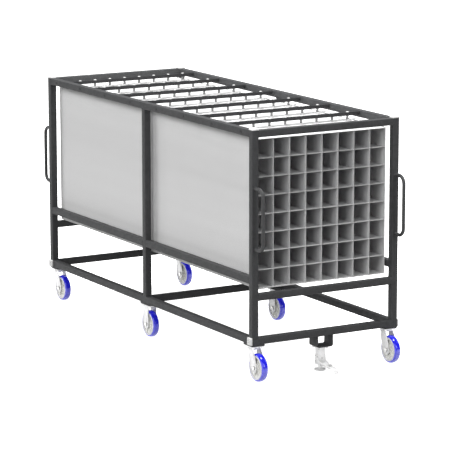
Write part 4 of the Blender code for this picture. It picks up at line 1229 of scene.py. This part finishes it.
def housing_look():
    parts = []
    # square tube body: open underneath, walls 3 mm
    outer = round_rect(HS, HS, 0.0042, 5)
    inner = round_rect(HS - 0.003, HS - 0.003, 0.0020, 5)
    n = len(outer)
    seq = [(outer, HS_LOW + 0.0004), (outer, HS_TOP - 0.0035), (inner, HS_TOP - 0.0060), (inner, HS_LOW + 0.0004)]
    verts = [(u, v, z) for line, z in seq for u, v in line]
    faces = []
    for k in range(3):
        if k == 1:
            continue
        for i in range(n):
            j = (i + 1) % n
            faces.append((k * n + i, k * n + j, (k + 1) * n + j, (k + 1) * n + i))
    faces.append(tuple(n + i for i in range(n)))
    faces.append(tuple(2 * n + i for i in range(n)))
    for i in range(n):
        j = (i + 1) % n
        faces.append((i, j, 3 * n + j, 3 * n + i))
    parts.append((bevelled("shell", mesh("shell", verts, faces), 0.0006, 2, 60), None))
    parts.append((bevelled("flange", mesh("flange", *extrude(round_rect(0.034, 0.032, 0.005, 4), 'Z', HS_TOP - 0.005, HS_TOP)), 0.0008, 2, 50), None))
    for s in (-1, 1):
        # upright beads pressed into the +X and -X faces, a collar under the flange
        for y in (-0.0095, 0.0095):
            parts.append((block("rib", (s * (HS - 0.0006), y - 0.0018, HS_LOW + 0.030), (s * (HS + 0.0010), y + 0.0018, HS_TOP - 0.016), 0.0008, 2), None))
        line = [(-HS + 0.006, HS_LOW + 0.0007), (-HS + 0.006, PVZ + 0.047)] + arc2(-HS + 0.009, PVZ + 0.047, 0.003, math.pi, math.pi / 2, 4)
        line += [(HS - 0.004, PVZ + 0.050)] + [(HS + 0.004, PVZ + 0.018), (PVX, PVZ + 0.011)] + arc2(PVX, PVZ, 0.011, math.radians(76), math.radians(-90), 14)
        line += [(HS + 0.002, HS_LOW + 0.0007)]
        y = s * EAR
        parts.append((bevelled("ear", mesh("ear", *extrude(line, 'Y', y - 0.0025, y + 0.0025)), 0.0007, 2, 40), None))
    collar = extrude(round_rect(HS + 0.0022, HS + 0.0022, 0.0052, 5), 'Z', HS_TOP - 0.0130, HS_TOP - 0.0048)
    parts.append((bevelled("collar", mesh("collar", *collar), 0.0008, 2, 50), None))
    return merge("housing_look", parts)


def lock_fasteners():
    parts = []
    for sx in (-1, 1):
        for sy in (-1, 1):
            p = Matrix.Translation((sx * 0.0285, sy * 0.0262, 0))
            parts.append((hexagon("bolt", 0.0090, HS_TOP - 0.0098, HS_TOP - 0.0056, washer=None, turn=0.4 * sx), p))
            parts.append((turned("washer", [(0.0056, HS_TOP - 0.0060), (0.0058, HS_TOP - 0.0049)], 22), p))
    for s in (-1, 1):
        for x, z in ((-0.007, PVZ + 0.040), (-0.007, PVZ + 0.010), (0.011, PVZ + 0.036)):
            o = EAR + 0.0025
            r = turned("rivet", [(0.0040, s * (o - 0.0002)), (0.0038, s * (o + 0.0012)), (0.0028, s * (o + 0.0020)), (0.0012, s * (o + 0.0023))], 20, 'Y')
            parts.append((r, Matrix.Translation((x, 0, z))))
        r = turned("rivet", [(0.0040, s * (HS - 0.0002)), (0.0038, s * (HS + 0.0012)), (0.0028, s * (HS + 0.0020)), (0.0012, s * (HS + 0.0023))], 20, 'X')
        parts.append((r, Matrix.Translation((0, 0.0, -0.122))))
        e = turned("pin_head", [(0.0066, s * (EAR + 0.0027)), (0.0066, s * (EAR + 0.0040)), (0.0056, s * (EAR + 0.0048))], 22, 'Y')
        parts.append((e, Matrix.Translation((PVX, 0, PVZ))))
    return merge("lock_fasteners", parts)


ob = piece("lock_housing_look", housing_look(), LOCKZ, place=LD, smooth=40)
hides(ob, "floor_lock_housing")
piece("lock_rivets", lock_fasteners(), ZINC_DARK, place=LD, smooth=45)


def foot_parts():
    z = -CASTER_H
    pad = [(0.0270, z), (0.0300, z + 0.0003), (0.0318, z + 0.0014), (0.0320, z + 0.0028), (0.0316, z + 0.0040), (0.0310, z + 0.0044), (0.0316, z + 0.0050), (0.0318, z + 0.0066), (0.0308, z + 0.0078), (0.0280, z + 0.0080)]
    pad = turned("foot_pad", pad, 56)
    cup = [(0.0270, z + 0.0080), (0.0266, z + 0.0090), (0.0220, z + 0.0102), (0.0160, z + 0.0112), (0.0154, z + 0.0130), (0.0138, z + 0.0140), (0.0134, z + 0.0176), (0.0124, z + 0.0184)]
    cup = turned("foot_cup", cup, 48)
    shaft = turned("foot_shaft", [(0.0120, z + 0.0180), (0.0120, -0.0926), (0.0108, -0.0920)], 36)
    grooves = []
    for k in range(2):
        zz = -0.1675 + 0.005 * k
        grooves.append((sweep("ring", [(0.0121 * math.cos(math.tau * i / 36), 0.0121 * math.sin(math.tau * i / 36), zz) for i in range(36)], 0.0007, 6, cyclic=True), None))
    return pad, merge("foot_metal", [(cup, None), (shaft, None)] + grooves)


FP, FM = foot_parts()
ob = piece("foot_pad_look", FP, FOOT, body="lock_foot", place=LD, smooth=45)
hides(ob, "floor_lock_foot")
piece("foot_shaft_look", FM, LOCKZ, body="lock_foot", place=LD, smooth=40)


def pedal_look():
    """Bent pressing with turned-down sides, a ribbed tread at the toe, and the hinge barrel."""
    tip = PEDAL_REACH + L - LOCK_X - PVX
    top = smoothed([(0.000, 0.0068), (0.016, 0.0040), (0.034, 0.0014), (0.056, 0.0002), (0.074, -0.0004), (0.090, -0.0038), (0.104, -0.0118), (tip - 0.008, -0.0205), (tip, -0.0268)], 3)
    top = [(v.x, v.y) for v in top]
    low = []
    for i, (x, z) in enumerate(top):
        a, b = Vector(top[max(0, i - 1)]), Vector(top[min(len(top) - 1, i + 1)])
        d = (b - a).normalized()
        low.append((x + d.y * 0.0034, z - d.x * 0.0034))
    half = 0.0183
    line = top + list(reversed(low))
    plate = bevelled("pedal_plate", mesh("pedal_plate", *extrude(line, 'Y', -half, half)), 0.0008, 2, 35)
    parts = [(plate, None)]
    skirt = [(0.000, 0.0045), (0.034, -0.0008), (0.074, -0.0024), (0.090, -0.0062), (0.098, -0.0106), (0.090, -0.0118), (0.074, -0.0086), (0.034, -0.0086), (0.000, -0.0076)]
    for s in (-1, 1):
        y = s * (half - 0.0013)
        parts.append((bevelled("skirt", mesh("skirt", *extrude(skirt, 'Y', y - 0.0013, y + 0.0013)), 0.0006, 2, 40), None))
    p0, p1 = Vector((0.1010, -0.0100)), Vector((tip - 0.004, -0.0236))
    d = (p1 - p0).normalized()
    nrm = Vector((-d.y, d.x))
    for k in range(4):
        p = p0 + (p1 - p0) * (k / 3)
        rib = block("tread_rib", (-0.0011, -half + 0.003, -0.0014), (0.0011, half - 0.003, 0.0012), 0.0006, 2)
        ang = math.atan2(d.y, d.x)
        parts.append((rib, Matrix.Translation((p.x + nrm.x * 0.0004, 0, p.y + nrm.y * 0.0004)) @ Matrix.Rotation(-ang, 4, 'Y')))
    barrel = lathe("barrel", [(0.0052, -0.0183), (0.0082, -0.0183), (0.0086, -0.0177), (0.0086, 0.0177), (0.0082, 0.0183), (0.0052, 0.0183)], 32, 'Y')
    parts.append((barrel, None))
    pin = turned("pin", [(0.0046, -0.0278), (0.0049, -0.0272), (0.0049, 0.0272), (0.0046, 0.0278)], 24, 'Y')
    parts.append((pin, None))
    return merge("pedal_look", parts)


def pedal_tab():
    """Raised release tab with its rivet, on the pedal's flat part."""
    t = block("tab", (0.0540, -0.0080, -0.0030), (0.0700, 0.0080, 0.0105), 0.0016, 3)
    r = turned("tab_rivet", [(0.0042, -0.0034), (0.0042, -0.0018), (0.0030, -0.0008)], 20)
    r.transform(Matrix.Translation((0.0440, 0.0, 0.0036)))
    return merge("pedal_tab", [(t, None), (r, None)])


PD = Matrix.Translation(at(LOCK_X + PVX, LOCK_Y, PVZ))
ob = piece("pedal_look", pedal_look(), LOCKZ, body="lock_pedal", place=PD, smooth=40)
hides(ob, "floor_lock_pedal")
piece("pedal_tab", pedal_tab(), ZINC_DARK, body="lock_pedal", place=PD, smooth=40)


# ------------------------------------------------------- floor, light, camera
scene = bpy.context.scene
scene.view_settings.view_transform = 'Standard'
scene.view_settings.look = 'None'
scene.view_settings.exposure = 0.0
scene.view_settings.gamma = 1.0

fm = Mat("studio_floor", (0.90, 0.90, 0.90), 0.85)
fm.colour(fm.mix(fm.noise(0.4, 2.0), (0.895, 0.895, 0.895), (0.905, 0.905, 0.905)))
fm.b.inputs["Emission Color"].default_value = (1, 1, 1, 1)
fm.b.inputs["Emission Strength"].default_value = 0.98
floor_mesh = mesh("floor", [(-60, -60, 0), (60, -60, 0), (60, 60, 0), (-60, 60, 0)], [(0, 1, 2, 3)])
floor = bpy.data.objects.new("studio_floor", floor_mesh)
scene.collection.objects.link(floor)
floor_mesh.materials.append(fm.m)
floor.location.z = -0.0012
floor.visible_diffuse = False

# an even white surround, dimmer as a light than as a backdrop
AMBIENT = 0.10
world = bpy.data.worlds.new("studio")
scene.world = world
world.use_nodes = True
bg = world.node_tree.nodes["Background"]
bg.inputs["Color"].default_value = (1.0, 1.0, 1.0, 1.0)
lp = world.node_tree.nodes.new("ShaderNodeLightPath")
ms = world.node_tree.nodes.new("ShaderNodeMix")
ms.data_type = 'FLOAT'
ms.inputs[2].default_value = AMBIENT
ms.inputs[3].default_value = 1.05
world.node_tree.links.new(lp.outputs["Is Camera Ray"], ms.inputs[0])
world.node_tree.links.new(ms.outputs[0], bg.inputs["Strength"])


def softbox(name, azimuth, elevation, strength, size, distance=14.0):
    """Square soft light. Azimuth turns from the -Y side towards +X; strength is
    the light on a face square to it, where 1 shows a white face as white."""
    a, e = math.radians(azimuth), math.radians(elevation)
    d = Vector((math.sin(a) * math.cos(e), -math.cos(a) * math.cos(e), math.sin(e)))
    li = bpy.data.lights.new(name, 'AREA')
    li.shape = 'SQUARE'
    li.size = size
    li.energy = strength * math.pi ** 2 * distance ** 2
    ob = bpy.data.objects.new(name, li)
    scene.collection.objects.link(ob)
    ob.location = Vector((0, 0, 0.6)) + d * distance
    ob.rotation_euler = (-d).to_track_quat('-Z', 'Y').to_euler()
    return ob


softbox("light_left", -40, 22, 0.33, 6.5)
softbox("light_front", 30, 22, 0.44, 9.0)
softbox("light_end", 98, 22, 0.24, 5.0)
softbox("light_back", 178, 32, 0.28, 6.5)
softbox("light_top", 180, 88, 1.62, 7.0)

cam = bpy.data.cameras.new("photo_camera")
cam.lens = 211.29
cam.sensor_width = 36.0
cam.sensor_fit = 'HORIZONTAL'
cam.clip_end = 200.0
cam.dof.use_dof = False
co = bpy.data.objects.new("photo_camera", cam)
scene.collection.objects.link(co)
az, el, roll = math.radians(60.15), math.radians(10.833), math.radians(-0.065)
fwd = Vector((-math.sin(az) * math.cos(el), math.cos(az) * math.cos(el), -math.sin(el)))
q = fwd.to_track_quat('-Z', 'Y')
co.matrix_world = Matrix.Translation((12.92925, -7.3553, 3.4543)) @ q.to_matrix().to_4x4() @ Matrix.Rotation(roll, 4, 'Z')
scene.camera = co
